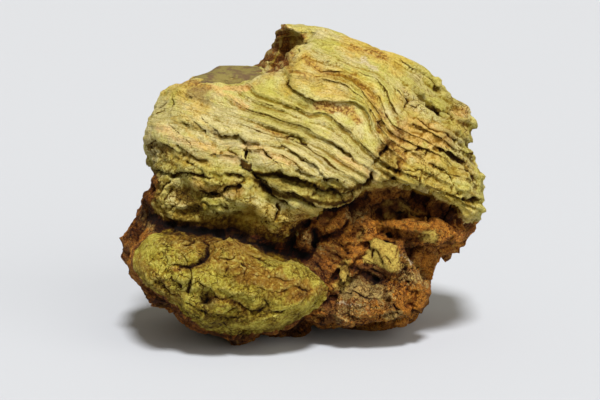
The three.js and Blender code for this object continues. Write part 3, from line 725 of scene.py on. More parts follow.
# %% Strokes
STROKES = (
    (1.7, -2.3, (272, 183), (284, 188), (300, 193), (325, 196), (350, 193)),
    (1.8, -1.3, (292, 207), (318, 208), (340, 203)),
    (2.2, -1.0, (398, 60), (412, 68), (432, 80), (446, 94), (458, 105)),
    (2.0, 1.2, (424, 92), (438, 102), (448, 108)),
    (2.0, -0.8, (432, 152), (448, 158), (462, 162)),
    (3.0, -0.9, (166, 182), (184, 183), (214, 186), (238, 184)),
    (2.0, 1.8, (184, 192), (191, 199), (195, 206)),
    (1.6, -1.0, (154, 204), (164, 194), (174, 184)),
    (1.6, -1.2, (248, 194), (262, 208), (270, 221), (277, 238)),
    (1.6, -0.9, (206, 200), (222, 202), (240, 200)),
    (1.4, 0.8, (284, 216), (286, 228), (284, 238)),
    (0.8, -0.6, (186, 167), (198, 171), (210, 175)),
    (2.6, 1.4, (168, 224), (200, 228), (234, 232), (262, 246), (284, 250)),
    (1.4, -0.5, (243, 150), (243, 158), (245, 166)),
    (1.6, -0.8, (241, 160), (244, 168)),
    (1.2, 1.0, (203, 297), (207, 302)),
    (1.6, -1.0, (385, 142), (386, 150), (392, 154)),
    (3.5, 1.7, (360, 204), (380, 200), (408, 202), (436, 208), (450, 213)),
    (2.4, 1.6, (290, 250), (306, 252), (318, 238)),
    (3.0, 2.2, (275, 62), (284, 54), (291, 44), (297, 40)),
    (1.6, 0.5, (388, 236), (400, 238), (416, 241)),
    (1.6, -1.0, (380, 223), (400, 224), (420, 228), (434, 232)),
    (1.4, -0.8, (402, 245), (413, 246)),
    (1.7, 1.4, (452, 221), (458, 228)),
    (2.4, -0.9, (374, 246), (384, 256), (392, 268)),
    (0.6, -0.7, (347, 264), (343, 273), (340, 281), (336, 287)),
    (1.6, -0.9, (387, 290), (395, 297), (400, 306)),
    (1.6, 1.3, (345, 311), (356, 315)),
    (1.8, -1.1, (305, 234), (307, 242)),
    (1.6, -1.0, (320, 226), (328, 230)),
    (1.6, -0.9, (338, 236), (346, 242)),
    (3.0, -1.2, (252, 160), (276, 163), (300, 170), (326, 178), (352, 180)),
    (3.0, -0.8, (160, 134), (184, 146), (208, 152), (230, 162)),
    (1.3, 0.7, (246, 112), (270, 121), (290, 130), (312, 139), (330, 146)),
    (1.2, -0.6, (216, 91), (240, 103), (262, 111), (286, 120), (308, 131)),
    (1.4, 0.9, (258, 92), (280, 101), (300, 112), (320, 124), (344, 136)),
    (1.3, -0.5, (290, 118), (312, 130), (334, 142), (352, 154)),
    (1.2, 0.6, (300, 84), (318, 92), (338, 95), (352, 102)),
    (1.2, -0.6, (296, 80), (316, 84), (340, 90), (356, 98), (366, 110), (372, 124)),
    (0.9, -0.6, (330, 70), (352, 76), (370, 86), (382, 98), (390, 114), (397, 124)),
    (0.8, -0.6, (330, 77), (348, 81), (362, 90), (374, 103), (382, 118), (392, 132)),
    (0.8, -0.5, (340, 85), (354, 94), (366, 106), (378, 122), (382, 134), (388, 141)),
    (2.0, 0.8, (202, 112), (222, 120), (244, 128)),
    (1.6, -0.6, (182, 118), (206, 126), (228, 136)),
)
print("strokes:", len(STROKES))

# %% Pulling points onto the cracks
SNAP_REACH = 0.21
SNAP_MARGIN = 3  # picture pixels around a line that are looked at


def near_enough(spots, points, margin):
    """The numbers of the points of the surface that a drawn line can reach."""
    low = np.min(points, axis=0) - margin
    high = np.max(points, axis=0) + margin
    return np.flatnonzero(((spots > low) & (spots < high)).all(1) & (view.front > 0))


def snap_to_cracks(places, cracks):
    for crack in cracks:
        chosen = near_enough(view.wobbly, crack.points, SNAP_MARGIN)
        near = near_line(view.wobbly[chosen], crack.points)
        close = near.distance < SNAP_REACH
        shift = -near.gap[close] * PIXEL
        moved = chosen[close]
        places[moved, 0] += shift[:, 0]
        places[moved] -= shift[:, 1:] * UPWARD
        view.wobbly[moved] += shift / PIXEL


print("a point is pulled over at most", SNAP_REACH, "mm")

# %% [markdown]
# ## What a crack does
# A crack sinks a groove, lifts the side above it with an edge that hangs over a little, and darkens. Two
# masks carry the dark for the material: `seams` fades away from the line, and `cracks_off` is the distance
# to the nearest line, so that the material can draw it thinner than the mesh and break it up. The distance
# is made longer towards a crack's ends and for a shallow one, and shorter for a gaping one.

# %% Grooves, steps and hollows
SEAM_REACH = 0.6
CRACK_REACH = 1.5
CRACK_MARGIN = 26  # picture pixels, as SNAP_MARGIN
STROKE_MARGIN = 45
STEP_RISE = 0.45
LIP_PLACE = 0.5
LIP_SAG = 0.35
FIRST_CRACK_SEED = 200
MEAN_DEPTH = 0.85
DEPTH_VARIES = 0.5
ENDS_TAPER = (-0.02, 0.2)  # shares of a crack's length
FADES_AT_ENDS = 0.6
FADES_WHERE_SHALLOW = 0.2
WIDER_WHERE_GAPING = 0.3
SHALLOW = 0.3
GAPING = 0.8


def crack_relief(cracks):
    """How deep each point sinks, how far it steps out, and how far the edge above a crack hangs over it."""
    groove = np.zeros(len(places))
    step = np.zeros(len(places))
    sag = np.zeros(len(places))
    for number, crack in enumerate(cracks):
        chosen = near_enough(view.wobbly, crack.points, CRACK_MARGIN)
        near = near_line(view.wobbly[chosen], crack.points)
        uneven = MEAN_DEPTH + DEPTH_VARIES * rough(places[chosen], 2.5, 2, FIRST_CRACK_SEED + number)
        ends = ease(np.minimum(near.along, 1 - near.along), *ENDS_TAPER) * view.front[chosen] * uneven
        groove[chosen] = np.maximum(groove[chosen], ends * crack.deep * dip(near.distance, crack.half))
        seam = ends * np.clip(1 - near.distance / SEAM_REACH, 0, 1) * min(1.0, 0.5 + 0.5 * crack.deep)
        seams[chosen] = np.maximum(seams[chosen], seam)
        faint = FADES_AT_ENDS * (1 - np.minimum(ends, 1))
        faint += FADES_WHERE_SHALLOW * (1 - min(1.0, crack.deep / SHALLOW))
        faint -= WIDER_WHERE_GAPING * (crack.deep > GAPING)
        cracks_off[chosen] = np.minimum(cracks_off[chosen], near.distance + faint)
        fall = np.tanh(near.distance / STEP_RISE) * np.exp(-near.distance / crack.reach)
        step[chosen] -= ends * crack.step * near.side * fall
        lip = dip(near.distance - LIP_PLACE, LIP_PLACE) * (near.side < 0)
        sag[chosen] += LIP_SAG * ends * crack.step * lip
    return groove, 0.5 * step, sag


def stroke_relief(strokes):
    """How deep each point lies in the wide hollows; negative on the wide swellings."""
    sunk = np.zeros(len(places))
    for reach, deep, *points in strokes:
        chosen = near_enough(view.wobbly, points, STROKE_MARGIN)
        near = near_line(view.wobbly[chosen], points)
        sunk[chosen] += view.front[chosen] * deep * dip(near.distance, reach)
    return sunk


seams = np.zeros(len(places))
cracks_off = np.full(len(places), CRACK_REACH)
print("deepest crack:", max(crack.deep for crack in OPEN_CLEFTS + LOBE_CRACKS + LIMONITE_CRACKS), "mm")

# %% [markdown]
# ## Layers in section
# Seen in section, each layer swells towards its lower edge and then drops to the next, and each stands out
# by its own amount. Lanes of noise along the layers make one layer differ from the next and change slowly
# along its length. Where a border gapes, its points are pulled onto it first, as at the cracks.

# %% Heights across the layers
LEVELS_ABOVE = (-9.0, -6.0, -3.0)
OPENNESS_ABOVE = 0.5
LAYERS_BELOW = 13
THICKNESS_BELOW = 3.2
OPENNESS_BELOW = 0.6
drawn_levels = [level for level, *_ in BORDERS]
levels_below = [drawn_levels[-1] + THICKNESS_BELOW * i for i in range(1, LAYERS_BELOW + 1)]
LEVELS = np.array([*LEVELS_ABOVE, *drawn_levels, *levels_below])
drawn_openness = [openness for _, openness, *_ in BORDERS]
OPENNESS = np.array([OPENNESS_ABOVE] * len(LEVELS_ABOVE) + drawn_openness + [OPENNESS_BELOW] * LAYERS_BELOW)
Sheets = namedtuple("Sheets", "stand swell border openness")


def along_layers(places):
    return (places[:, 0] + 0.6 * places[:, 1] - places[:, 2]) / 1.9


def sheets(level, places, seed):
    """Each layer's own height, its swell, the way to its border, and how open that border is."""
    number = np.clip(np.searchsorted(LEVELS, level) - 1, 0, len(LEVELS) - 2)
    thickness = LEVELS[number + 1] - LEVELS[number]
    share = np.clip((level - LEVELS[number]) / thickness, 0, 1)
    along = along_layers(places)
    stand = noise(np.stack((number * 7.37, along / 11, number * 3.1), axis=1), seed)
    swell = share**2.2 * np.minimum(1, thickness / 2.6)
    border = np.minimum(share, 1 - share) * thickness
    nearest = number + (share > 0.5)
    opened = noise(np.stack((nearest * 5.3, along / 8, nearest * 1.7), axis=1), seed + 1)
    return Sheets(stand, swell, border, OPENNESS[nearest] * ease(opened, -0.7, 0.1))


def snap_to_sheets(places, level):
    """Points close to the border between two layers are pulled onto it, in the picture plane."""
    depth = places[:, 1] - CENTRING[1]
    slope = np.stack([
        (layers_at(view.spots + half, depth) - layers_at(view.spots - half, depth)) / PIXEL
        for half in (np.array((0.5, 0.0)), np.array((0.0, 0.5)))
    ], axis=1)
    nearest = LEVELS[np.abs(level[:, None] - LEVELS).argmin(1)]
    shift = slope * ((nearest - level) / (slope**2).sum(1))[:, None]
    close = (np.hypot(shift[:, 0], shift[:, 1]) < SNAP_REACH) & (folded * view.front > 0.5) & (seams == 0)
    places[close, 0] += shift[close, 0]
    places[close] -= shift[close, 1:] * UPWARD
    level[close] = nearest[close]


print("layers:", len(LEVELS) - 1)

# %% [markdown]
# ## Where the clay breaks how
# The clay isn't layered everywhere. At the right and towards the bottom it crumbles, and in three places on
# the display side it is smooth: on the left face, on top of the fold, and on the upper right shoulder.
# These parts are soft steps across the picture, each from one column or row to another.

# %% Layered, crumbly and quiet parts
LEDGE_CALMING = 0.85
LEDGE_SMOOTHING = 40
CRUMBLY_COLUMNS = (388, 410)
CRUMBLY_ROWS = (60, 100)
CRUMBLY_LAYERS = (34, 39)
CRUMBLY_TILT = 0.04  # millimetres of layer for each column
LEDGED_COLUMNS = (330, 390)
LEFT_FACE = ((262, 205), (158, 146))
FOLD_TOP = ((338, 302), (94, 80))
SHOULDER = ((410, 390), (54, 46))
SHOULDER_STARTS = 304
SHOULDER_SLOPE = 0.5
SHOULDER_QUIET = 0.8
LAYER_WOBBLE = 0.25  # the share of the wobble that a border takes
LAYER_WANDER = 1.2  # millimetres, on the guessed sides
CRUMBLY_BEHIND = 0.4
CRUMBLY_LEDGES = 0.2
MORE_LEDGES = 0.6  # towards the right
BOLDER_BEHIND = 0.2
CALM_WHERE_QUIET = 0.75
PATCH_WOBBLE = 0.4
PATCH_EDGE = (-0.2, 0.8)
CALM_WHERE_LEAFY = 0.75
calm = relax(places, edges, LEDGE_SMOOTHING)
places += (LEDGE_CALMING * folded)[:, None] * (calm - places)
view = look(places)
x, y = view.spots.T
layer = layers_at(view.spots + LAYER_WOBBLE * wobble, places[:, 1] - CENTRING[1])
layer += (1 - view.front) * LAYER_WANDER * rough(places, 9, 2, 31)
crumbly = folded * np.maximum(
    ease(x, *CRUMBLY_COLUMNS) * ease(y, *CRUMBLY_ROWS),
    ease(layer + CRUMBLY_TILT * (PICTURE[0] / 2 - x), *CRUMBLY_LAYERS),
)
crumbly = np.maximum(crumbly, folded * (1 - view.front) * CRUMBLY_BEHIND)
layered = folded - crumbly
ledged = layered + crumbly * (CRUMBLY_LEDGES + MORE_LEDGES * ease(x, *LEDGED_COLUMNS))
quiet = sum(ease(x, *columns) * ease(y, *rows) for columns, rows in (LEFT_FACE, FOLD_TOP))
below_shoulder = y - SHOULDER_SLOPE * (x - SHOULDER_STARTS)
quiet += SHOULDER_QUIET * ease(below_shoulder, *SHOULDER[1]) * ease(x, *SHOULDER[0])
quiet = np.minimum(quiet, 1) * view.front
bold = (1 + BOLDER_BEHIND * (1 - view.front)) * (1 - CALM_WHERE_QUIET * quiet)
inside_patch = depth_inside(view.spots + PATCH_WOBBLE * wobble, YELLOW_PATCH)
leafy = ease(inside_patch, *PATCH_EDGE) * view.front
jagged = limonite * (1 - CALM_WHERE_LEAFY * leafy)
print("layered, crumbly, quiet:", [float(part.mean().round(2)) for part in (layered, crumbly, quiet)])

# %% [markdown]
# ## Sculpting from large to small
# A rock is shaped the way it broke: first the big ledges and gaping clefts, then the single layers with
# their broken edges, then crumbs, pits and grain. Each pass pushes the points along the surface of the pass
# before, so a small crack follows the lip of a large one. The lobe gets soft billows and crazing. The
# limonite gets clods with flat faces and open pits, and its breaks stay sharper, because less of them is
# averaged away. The flat olive face takes next to nothing. The named heights are in millimetres, and so
# is the size that rough, cells and their like are given; their last number is the seed.

# %% One pass of relief
SHARP_BREAKS = 0.5
OLIVE_FLATNESS = 0.97


def push_out(places, amount):
    """Along normals that are smoothed a little, so that neighbours don't run into each other."""
    return places + outward(specimen, relax(places, edges, NORMAL_SMOOTHING)) * amount[:, None]


def carve(places, relief, softening, cracks):
    """Relief and drawn steps push the surface out, then grooves sink in and their upper lips sag."""
    groove, step, sag = crack_relief(cracks)
    soft = relax(relief, edges, 1, softening)
    places = push_out(places, soft + SHARP_BREAKS * jagged * (relief - soft) + step)
    return push_out(places, -groove) - sag[:, None] * UPWARD


# %% Large forms
LUMPS = 0.45
LEDGES_STAND = 0.45
LEDGES_SWELL = 0.8
CRUMBLY_LUMPS = 0.45
LOBE_BILLOWS = 0.5
BLOCKS = 1.25
RIDGES = 0.4
SWELL_MIDDLE = 0.35  # taken off, so that as much sinks as rises
BILLOWS_MIDDLE = 0.45
RIDGES_MIDDLE = 0.55
OLIVE_CALM = 0.95
LARGE_SOFTENING = 0.5
snap_to_cracks(places, OPEN_CLEFTS)
snap_to_sheets(places, layer)
wide = sheets(layer, places, 3)
large = LUMPS * rough(places, 13, 2, 11)
large += bold * ledged * (LEDGES_STAND * wide.stand + LEDGES_SWELL * (wide.swell - SWELL_MIDDLE))
large += crumbly * CRUMBLY_LUMPS * rough(places, 6, 2, 21)
large += lobed * LOBE_BILLOWS * (billows(places, 8, 23) - BILLOWS_MIDDLE)
blocks = cells(places + 0.9 * rough(places, 4, 2, 24)[:, None], 8.5, 26)
large += jagged * (BLOCKS * blocks.slant + RIDGES * (ridged(places, 7.5, 2, 25) - RIDGES_MIDDLE))
large *= 1 - OLIVE_CALM * olive_face
large -= stroke_relief(STROKES)
places = carve(places, large, LARGE_SOFTENING, OPEN_CLEFTS)
print("large relief, in mm:", large.min().round(1), "to", large.max().round(1))

# %% Single layers
SHEETS_STAND = 0.2
SHEETS_SWELL = 0.5
SHEET_GAPS = 0.55
FLAKES = 0.25
QUIET_FLAKES = 0.2
FLAKE_THICKNESS = 1.1
FLAKE_LENGTH = 5.0
GAP_HALF = 0.26
CLOSED_WHERE_QUIET = 0.7
OPEN_ENOUGH = 0.8
FADES_AT_BORDERS = 0.06
FADES_WHERE_CLOSED = 0.45
FINE_CRACKS = LAYER_EDGES + LOBE_CRACKS + LIMONITE_CRACKS
view = look(places)
snap_to_cracks(places, FINE_CRACKS)
along = along_layers(places) / FLAKE_LENGTH
flaky = noise(np.stack((layer / FLAKE_THICKNESS, along, places[:, 1] / FLAKE_LENGTH), axis=1), 60)
sheet = sheets(layer, places, 3)
openness = sheet.openness * ledged * (1 - CLOSED_WHERE_QUIET * quiet)
medium = bold * ledged * (SHEETS_STAND * sheet.stand + SHEETS_SWELL * (sheet.swell - SWELL_MIDDLE))
medium -= openness * SHEET_GAPS * dip(sheet.border, GAP_HALF)
medium += layered * (FLAKES + QUIET_FLAKES * quiet) * flaky
seams = np.maximum(seams, openness * np.clip(1 - sheet.border / SEAM_REACH, 0, 1))
fade = FADES_WHERE_CLOSED * np.clip(OPEN_ENOUGH - openness, 0, 1)
cracks_off = np.minimum(cracks_off, sheet.border + FADES_AT_BORDERS + fade)
print("relief of the layers, in mm:", medium.min().round(1), "to", medium.max().round(1))

# %% Clods of the crumbly clay
CLODS = 0.6
CLOD_STEPS = 0.15
CLOD_FLAKES = 0.35
CLOD_GAPS = 0.25
CLOD_SQUASH = np.array((0.75, 0.75, 1.3))  # they are wider than high
clods = cells(places * CLOD_SQUASH + 0.6 * rough(places, 2, 2, 41)[:, None], 3.8, 43)
open_clods = ease(rough(places, 5, 2, 44), -0.2, 0.4)
medium += crumbly * (CLODS * clods.slant + CLOD_STEPS * clods.number + CLOD_FLAKES * flaky)
medium -= crumbly * CLOD_GAPS * dip(clods.border, GAP_HALF) * open_clods
print("share of open clods:", open_clods.mean().round(2))

# %% Plates of the lobe and facets of the limonite
PLATES = 0.5
PLATE_GAPS = 0.2
PUFFS = 0.2
PUFFS_MIDDLE = 0.4
FACETS = 1.2
FACET_STEPS = 0.3
FACET_FLAKES = 0.1
MEDIUM_SOFTENING = 0.3
plates = cells(places + 1.1 * rough(places, 2.5, 3, 47)[:, None], 5.0, 49)
open_craze = ease(rough(places, 6, 2, 48), 0.0, 0.5)
medium += lobed * (PLATES * plates.slant + PUFFS * (billows(places, 3.4, 51) - PUFFS_MIDDLE))
medium -= lobed * PLATE_GAPS * dip(plates.border, GAP_HALF) * open_craze
lumps = cells(places + 0.5 * rough(places, 2, 2, 53)[:, None], 4.6, 55)
medium += jagged * (FACETS * lumps.slant + FACET_STEPS * lumps.number + FACET_FLAKES * flaky)
medium *= 1 - OLIVE_FLATNESS * olive_face
places = carve(places, medium, MEDIUM_SOFTENING, FINE_CRACKS)
print("medium relief, in mm:", medium.min().round(1), "to", medium.max().round(1))

# %% Crumbs and grain
THIN_LAYER = 1.2
LAYER_RIPPLES = 0.04
LAYER_FLAKES = 0.16
LAYER_GRAIN = 0.07
QUIET_GRAIN = 0.09
CRUMB_FLAKES = 0.15
CRUMBS = 0.14
LOBE_GRAIN = 0.2
CHIPS = 0.25
CHIP_FLAKES = 0.05
thin_layer = np.sin(2 * math.pi * (layer + 0.3 * rough(places, 3, 2, 35)) / THIN_LAYER)
layer_grain = (LAYER_GRAIN + QUIET_GRAIN * quiet) * rough(places, 1.8, 2, 61)
fine = layered * (LAYER_RIPPLES * thin_layer + LAYER_FLAKES * flaky + layer_grain)
fine += crumbly * (CRUMB_FLAKES * flaky + CRUMBS * rough(places, 1.6, 2, 63))
fine += lobed * LOBE_GRAIN * rough(places, 1.5, 2, 65)
fine += jagged * (CHIPS * cells(places, 1.5, 67).slant + CHIP_FLAKES * flaky)
fine *= 1 - OLIVE_FLATNESS * olive_face
places = push_out(places, fine)
print("fine relief, in mm:", fine.min().round(1), "to", fine.max().round(1))

# %% Flat underside and final size
box = np.array(CAD_BOX) / MM
places[resting, 2] = 0
places[:, 2] = np.maximum(places[:, 2], 0)
places = box[0] + (places - places.min(0)) * (box[1] - box[0]) / (places.max(0) - places.min(0))
view = look(places)
folded, lobed, limonite, olive_face, rusty_shaded_wall = grounds(places, view)
print("box of the specimen, in mm:", places.min(0).round(2), places.max(0).round(2))

# %% [markdown]
# ## Stains
# The clay is pale where it is dry and greener where it is fresh, and some green streaks are painted shade
# under the nose and along the bands. Ochre and rust came out of the limonite and followed the cracks, a
# peach-coloured skin lies along the rim, and the dust streaks paint shade under the ledges and in the
# recesses, with some brown dust in them.
# Each row below is one streak: its reach in millimetres, its strength, and its picture points.

# %% Ochre and rust
OCHRE_STAINS = (
    (1.6, 0.9, (304, 56), (321, 72), (338, 75), (357, 80), (367, 90), (376, 104)),
    (1.8, 0.9, (283, 66), (292, 68), (305, 74), (320, 78)),
    (2.0, 0.7, (318, 86), (330, 90), (340, 94)),
    (2.2, 1.0, (350, 45), (362, 50), (376, 52), (390, 58), (398, 66)),
    (2.4, 0.8, (280, 30), (287, 40), (280, 50), (274, 62)),
    (3.0, 0.8, (170, 82), (184, 88), (196, 92), (200, 100)),
    (1.5, 0.6, (168, 154), (180, 158), (192, 160), (206, 164)),
    (2.0, 0.7, (300, 62), (296, 76), (290, 90)),
    (1.5, 0.7, (366, 98), (378, 118), (384, 134)),
    (3.5, 0.7, (392, 170), (412, 176), (436, 190), (456, 204)),
    (2.5, 0.6, (400, 146), (424, 156), (446, 168), (466, 172)),
    (2.2, 0.6, (402, 100), (416, 122), (440, 132), (462, 128)),
    (2.5, 0.9, (322, 214), (336, 206), (352, 203), (366, 196)),
    (2.4, 0.3, (152, 184), (166, 192), (180, 200), (196, 200)),
    (0.4, 0.7, (182, 114), (196, 127), (206, 137), (214, 147)),
    (0.4, 0.7, (190, 112), (206, 125), (218, 137), (228, 147)),
    (0.4, 0.7, (174, 118), (190, 133), (200, 143), (210, 155)),
    (2.4, 1.2, (252, 214), (270, 220), (288, 224), (300, 217)),
    (2.5, 0.7, (156, 212), (176, 222), (206, 226), (240, 228), (270, 240), (290, 240)),
    (2.0, 0.5, (196, 178), (216, 186), (246, 180), (262, 190)),
    (3.5, 0.8, (180, 240), (204, 244), (226, 246), (250, 254)),
    (2.4, 1.4, (246, 272), (268, 280), (284, 286), (300, 290)),
    (2.0, 0.8, (212, 250), (226, 262), (240, 272), (262, 282)),
    (1.6, 0.3, (262, 256), (276, 262), (296, 268), (312, 276)),
    (2.0, 0.8, (374, 189), (396, 187), (420, 194), (446, 203), (468, 216)),
    (2.0, 0.6, (205, 262), (224, 264), (244, 262)),
    (1.8, 0.6, (140, 262), (154, 280), (176, 296)),
)
RUST_STAINS = (
    (0.9, 1.0, (317, 107), (337, 108), (350, 111), (359, 120)),
    (0.7, 0.7, (304, 57), (321, 72), (338, 75), (354, 79), (364, 88), (376, 104), (384, 116)),
    (0.6, 0.7, (286, 68), (300, 74), (317, 78)),
    (0.8, 0.9, (376, 122), (379, 130)),
    (1.0, 0.9, (272, 68), (282, 62), (290, 54), (296, 44), (302, 38)),
    (1.0, 0.8, (178, 80), (194, 83), (206, 86)),
    (0.5, 0.4, (232, 88), (247, 87), (258, 82), (268, 78)),
    (0.8, 0.8, (352, 46), (366, 50), (384, 56)),
    (0.6, 0.7, (397, 118), (399, 128), (404, 140), (396, 146)),
    (0.9, 0.8, (386, 146), (398, 150), (404, 160), (398, 170)),
    (0.5, 0.7, (255, 126), (278, 134), (288, 140)),
    (1.0, 0.8, (346, 202), (360, 198), (376, 192), (398, 191), (420, 198), (446, 206), (460, 216)),
    (0.8, 0.7, (152, 176), (158, 188), (154, 200)),
    (0.5, 0.8, (203, 238), (208, 247), (209, 258), (203, 263), (191, 268), (170, 269)),
    (0.6, 0.7, (210, 298), (230, 301), (244, 309)),
    (1.0, 0.7, (286, 300), (300, 296), (316, 290), (328, 290)),
    (1.4, 0.9, (258, 228), (274, 233), (290, 229), (302, 220)),
    (0.5, 0.6, (458, 122), (468, 126)),
)
print("ochre and rust streaks:", len(OCHRE_STAINS + RUST_STAINS))

# %% Peach, green and grey
PEACH_STAINS = (
    (0.5, 1.4, (210, 86), (222, 89), (240, 90), (248, 87)),
    (0.6, 0.8, (218, 92), (236, 101), (246, 107)),
    (2.6, 1.1, (400, 134), (412, 130), (424, 134), (438, 141)),
    (1.4, 0.8, (456, 112), (466, 113)),
    (2.2, 0.6, (388, 150), (398, 146), (414, 152), (430, 156)),
    (1.0, 0.6, (246, 146), (262, 152), (290, 162)),
    (1.2, 0.6, (340, 160), (352, 164), (366, 172), (372, 180)),
    (1.0, 0.6, (160, 128), (184, 140), (212, 150), (236, 160)),
    (1.4, 0.6, (194, 182), (214, 192), (236, 190)),
    (1.6, 0.5, (205, 236), (224, 234), (244, 244)),
)
# Green of fresh clay, and painted shade too: the darker green streaks under the nose, along the bands and
# below the fibrous block stand in for shade.
GREEN_AND_SHADE_STAINS = (
    (2.6, 0.9, (196, 204), (220, 208), (244, 212), (262, 220)),
    (2.0, 0.8, (160, 206), (176, 216), (196, 216)),
    (2.5, 0.7, (258, 92), (276, 96), (300, 104)),
    (2.6, 0.8, (166, 166), (188, 172), (206, 182), (226, 184)),
    (3.2, 1.2, (206, 206), (236, 214), (262, 224), (284, 236)),
    (1.6, 0.8, (258, 172), (284, 178), (310, 185), (336, 189)),
    (2.6, 0.7, (256, 114), (280, 124), (304, 132)),
    (2.2, 0.8, (270, 180), (290, 186), (312, 194), (338, 198)),
    (2.6, 0.6, (434, 96), (448, 108), (462, 124), (470, 146)),
    (2.0, 0.6, (404, 172), (422, 172), (440, 184)),
    (2.5, 0.7, (150, 252), (146, 266), (160, 284), (190, 306), (222, 316), (262, 316), (292, 306)),
    (1.6, 0.6, (262, 250), (290, 262), (306, 268)),
    (1.6, 0.7, (456, 100), (440, 84), (424, 72), (408, 62)),
    (1.3, 0.6, (250, 184), (268, 194), (290, 200), (312, 206)),
)
GREY_STAINS = (
    (1.5, 0.9, (196, 92), (204, 95), (208, 97)),
    (1.0, 0.6, (213, 131), (216, 134)),
    (1.2, 0.8, (446, 134), (450, 138)),
    (1.6, 0.8, (205, 298), (208, 302)),
    (2.6, 1.0, (348, 286), (364, 290), (380, 293)),
    (1.2, 0.9, (388, 314), (398, 315)),
    (1.6, 0.7, (404, 276), (414, 280)),
    (2.2, 0.6, (344, 312), (366, 306)),
    (1.2, 0.7, (420, 276), (426, 284)),
    (1.6, 0.6, (352, 216), (364, 214)),
    (1.5, 0.6, (302, 234), (316, 246)),
    (1.5, 0.7, (146, 216), (150, 226)),
)
print("peach, green and grey streaks:", len(PEACH_STAINS + GREEN_AND_SHADE_STAINS + GREY_STAINS))

# %% Cream, white and orange
CREAM_STAINS = (
    (5.0, 1.2, (200, 114), (240, 126), (280, 142), (320, 158), (352, 170)),
    (4.0, 1.0, (262, 152), (290, 166), (320, 176), (350, 182)),
    (3.5, 0.9, (158, 108), (180, 130), (210, 142)),
)
WHITE_STAINS = (
    (0.9, 1.0, (362, 60), (368, 63), (376, 68)),
    (0.3, 0.8, (401, 256), (405, 257)),
    (0.3, 0.8, (409, 260), (412, 263)),
    (0.5, 0.5, (338, 304), (360, 305)),
)
ORANGE_STAINS = (
    (2.5, 0.9, (382, 316), (400, 318), (414, 312)),
    (2.0, 0.8, (378, 306), (392, 304), (412, 304)),
    (2.6, 1.0, (404, 286), (414, 294), (418, 304)),
    (2.6, 0.7, (392, 304), (404, 313), (398, 321)),
    (2.0, 0.7, (340, 236), (346, 244), (342, 254)),
    (1.8, 1.0, (376, 224), (392, 223), (411, 226), (430, 228), (450, 230)),
    (1.6, 0.7, (384, 234), (404, 238), (424, 238)),
    (2.2, 0.9, (388, 290), (396, 298), (402, 306)),
    (2.0, 0.5, (320, 244), (334, 238), (346, 236)),
    (2.0, 0.6, (330, 262), (338, 270), (334, 284)),
    (2.2, 0.5, (352, 316), (372, 320), (392, 312)),
    (1.6, 0.6, (430, 244), (420, 254), (428, 262)),
    (1.6, 0.5, (130, 240), (140, 232), (150, 226)),
    (1.2, 0.8, (244, 232), (262, 238), (286, 246)),
)
print("cream, white and orange streaks:", len(CREAM_STAINS + WHITE_STAINS + ORANGE_STAINS))

# %% Painted shade and dust, and yellow
# Mostly painted shade: dark streaks under the nose, in the gap above the lobe and in the recesses of the
# limonite, with some brown dust in them.
DUST_AND_SHADE_STAINS = (
    (0.9, 0.6, (386, 235), (400, 237), (418, 240)),
    (1.0, 0.6, (166, 221), (186, 222), (206, 223), (222, 225)),
    (1.2, 0.7, (184, 194), (191, 202), (195, 209)),
    (0.9, 0.9, (289, 238), (292, 248), (298, 255), (310, 256)),
    (2.2, 0.4, (308, 260), (322, 269), (332, 280)),
    (0.8, 0.9, (313, 231), (316, 241), (313, 252)),
    (0.9, 0.8, (318, 240), (328, 238), (340, 232)),
    (1.0, 0.7, (346, 268), (358, 270), (372, 279), (386, 283)),
    (1.2, 0.6, (266, 247), (280, 251), (296, 252), (308, 250)),
    (1.0, 0.8, (292, 232), (293, 244), (290, 252)),
    (1.2, 0.5, (170, 188), (185, 190), (205, 193), (240, 186)),
    (2.5, 0.8, (168, 226), (210, 229), (250, 235), (285, 243)),
    (0.6, 1.0, (254, 172), (264, 175), (278, 174), (304, 182), (324, 188), (340, 192), (368, 184)),
    (0.6, 1.0, (256, 182), (268, 189), (281, 194), (298, 197), (312, 202), (334, 204), (354, 200)),
    (2.0, 0.5, (258, 178), (290, 182), (320, 192), (350, 196)),
    (1.6, 0.4, (250, 242), (275, 253), (300, 256)),
    (2.0, 0.7, (182, 194), (192, 204), (190, 214)),
    (1.8, 0.6, (384, 150), (392, 164), (388, 178)),
    (0.8, 0.3, (394, 64), (404, 72), (428, 88)),
    (1.8, 0.4, (346, 207), (376, 198), (410, 202), (446, 214)),
    (0.8, 0.7, (151, 147), (160, 149), (168, 151)),
    (1.3, 1.0, (152, 219), (176, 228), (206, 230), (236, 231), (262, 246), (286, 254)),
    (3.0, 0.6, (134, 232), (142, 214), (148, 196), (152, 180)),
    (3.0, 0.6, (146, 288), (160, 302), (184, 322), (214, 338), (262, 338), (300, 324)),
    (1.4, 0.6, (203, 238), (208, 250), (204, 262), (186, 269)),
    (2.0, 0.7, (196, 308), (216, 320), (244, 317), (264, 308)),
    (2.0, 0.5, (200, 296), (222, 301), (246, 308)),
    (2.2, 0.5, (228, 276), (252, 290), (280, 300)),
    (1.5, 0.5, (276, 294), (292, 298), (306, 294)),
    (0.5, 0.5, (249, 151), (248, 160), (251, 168)),
)
YELLOW_STAINS = (
    (1.2, 0.9, (424, 237), (433, 236)),
    (1.2, 0.5, (402, 260), (410, 264)),
    (0.7, 0.8, (384, 204), (390, 203)),
    (0.7, 0.8, (402, 205), (407, 208)),
    (1.2, 0.9, (345, 266), (344, 277), (338, 286)),
    (0.8, 0.6, (384, 216), (404, 212), (424, 214)),
    (1.0, 0.5, (360, 238), (364, 230)),
)


print("dusty and yellow streaks:", len(DUST_AND_SHADE_STAINS + YELLOW_STAINS))

# %% [markdown]
# ## Masks on the points
# Each stain becomes a mask stored on the points of the mesh, where the material can read it. A streak has a
# ragged edge from noise. On the sides and the back, which no line reaches, patches of noise take their
# place. How deep a point lies in its surroundings is stored as well, at three sizes, because dust and shade
# gather in hollows. The material breaks all the masks up further, finer than the mesh.

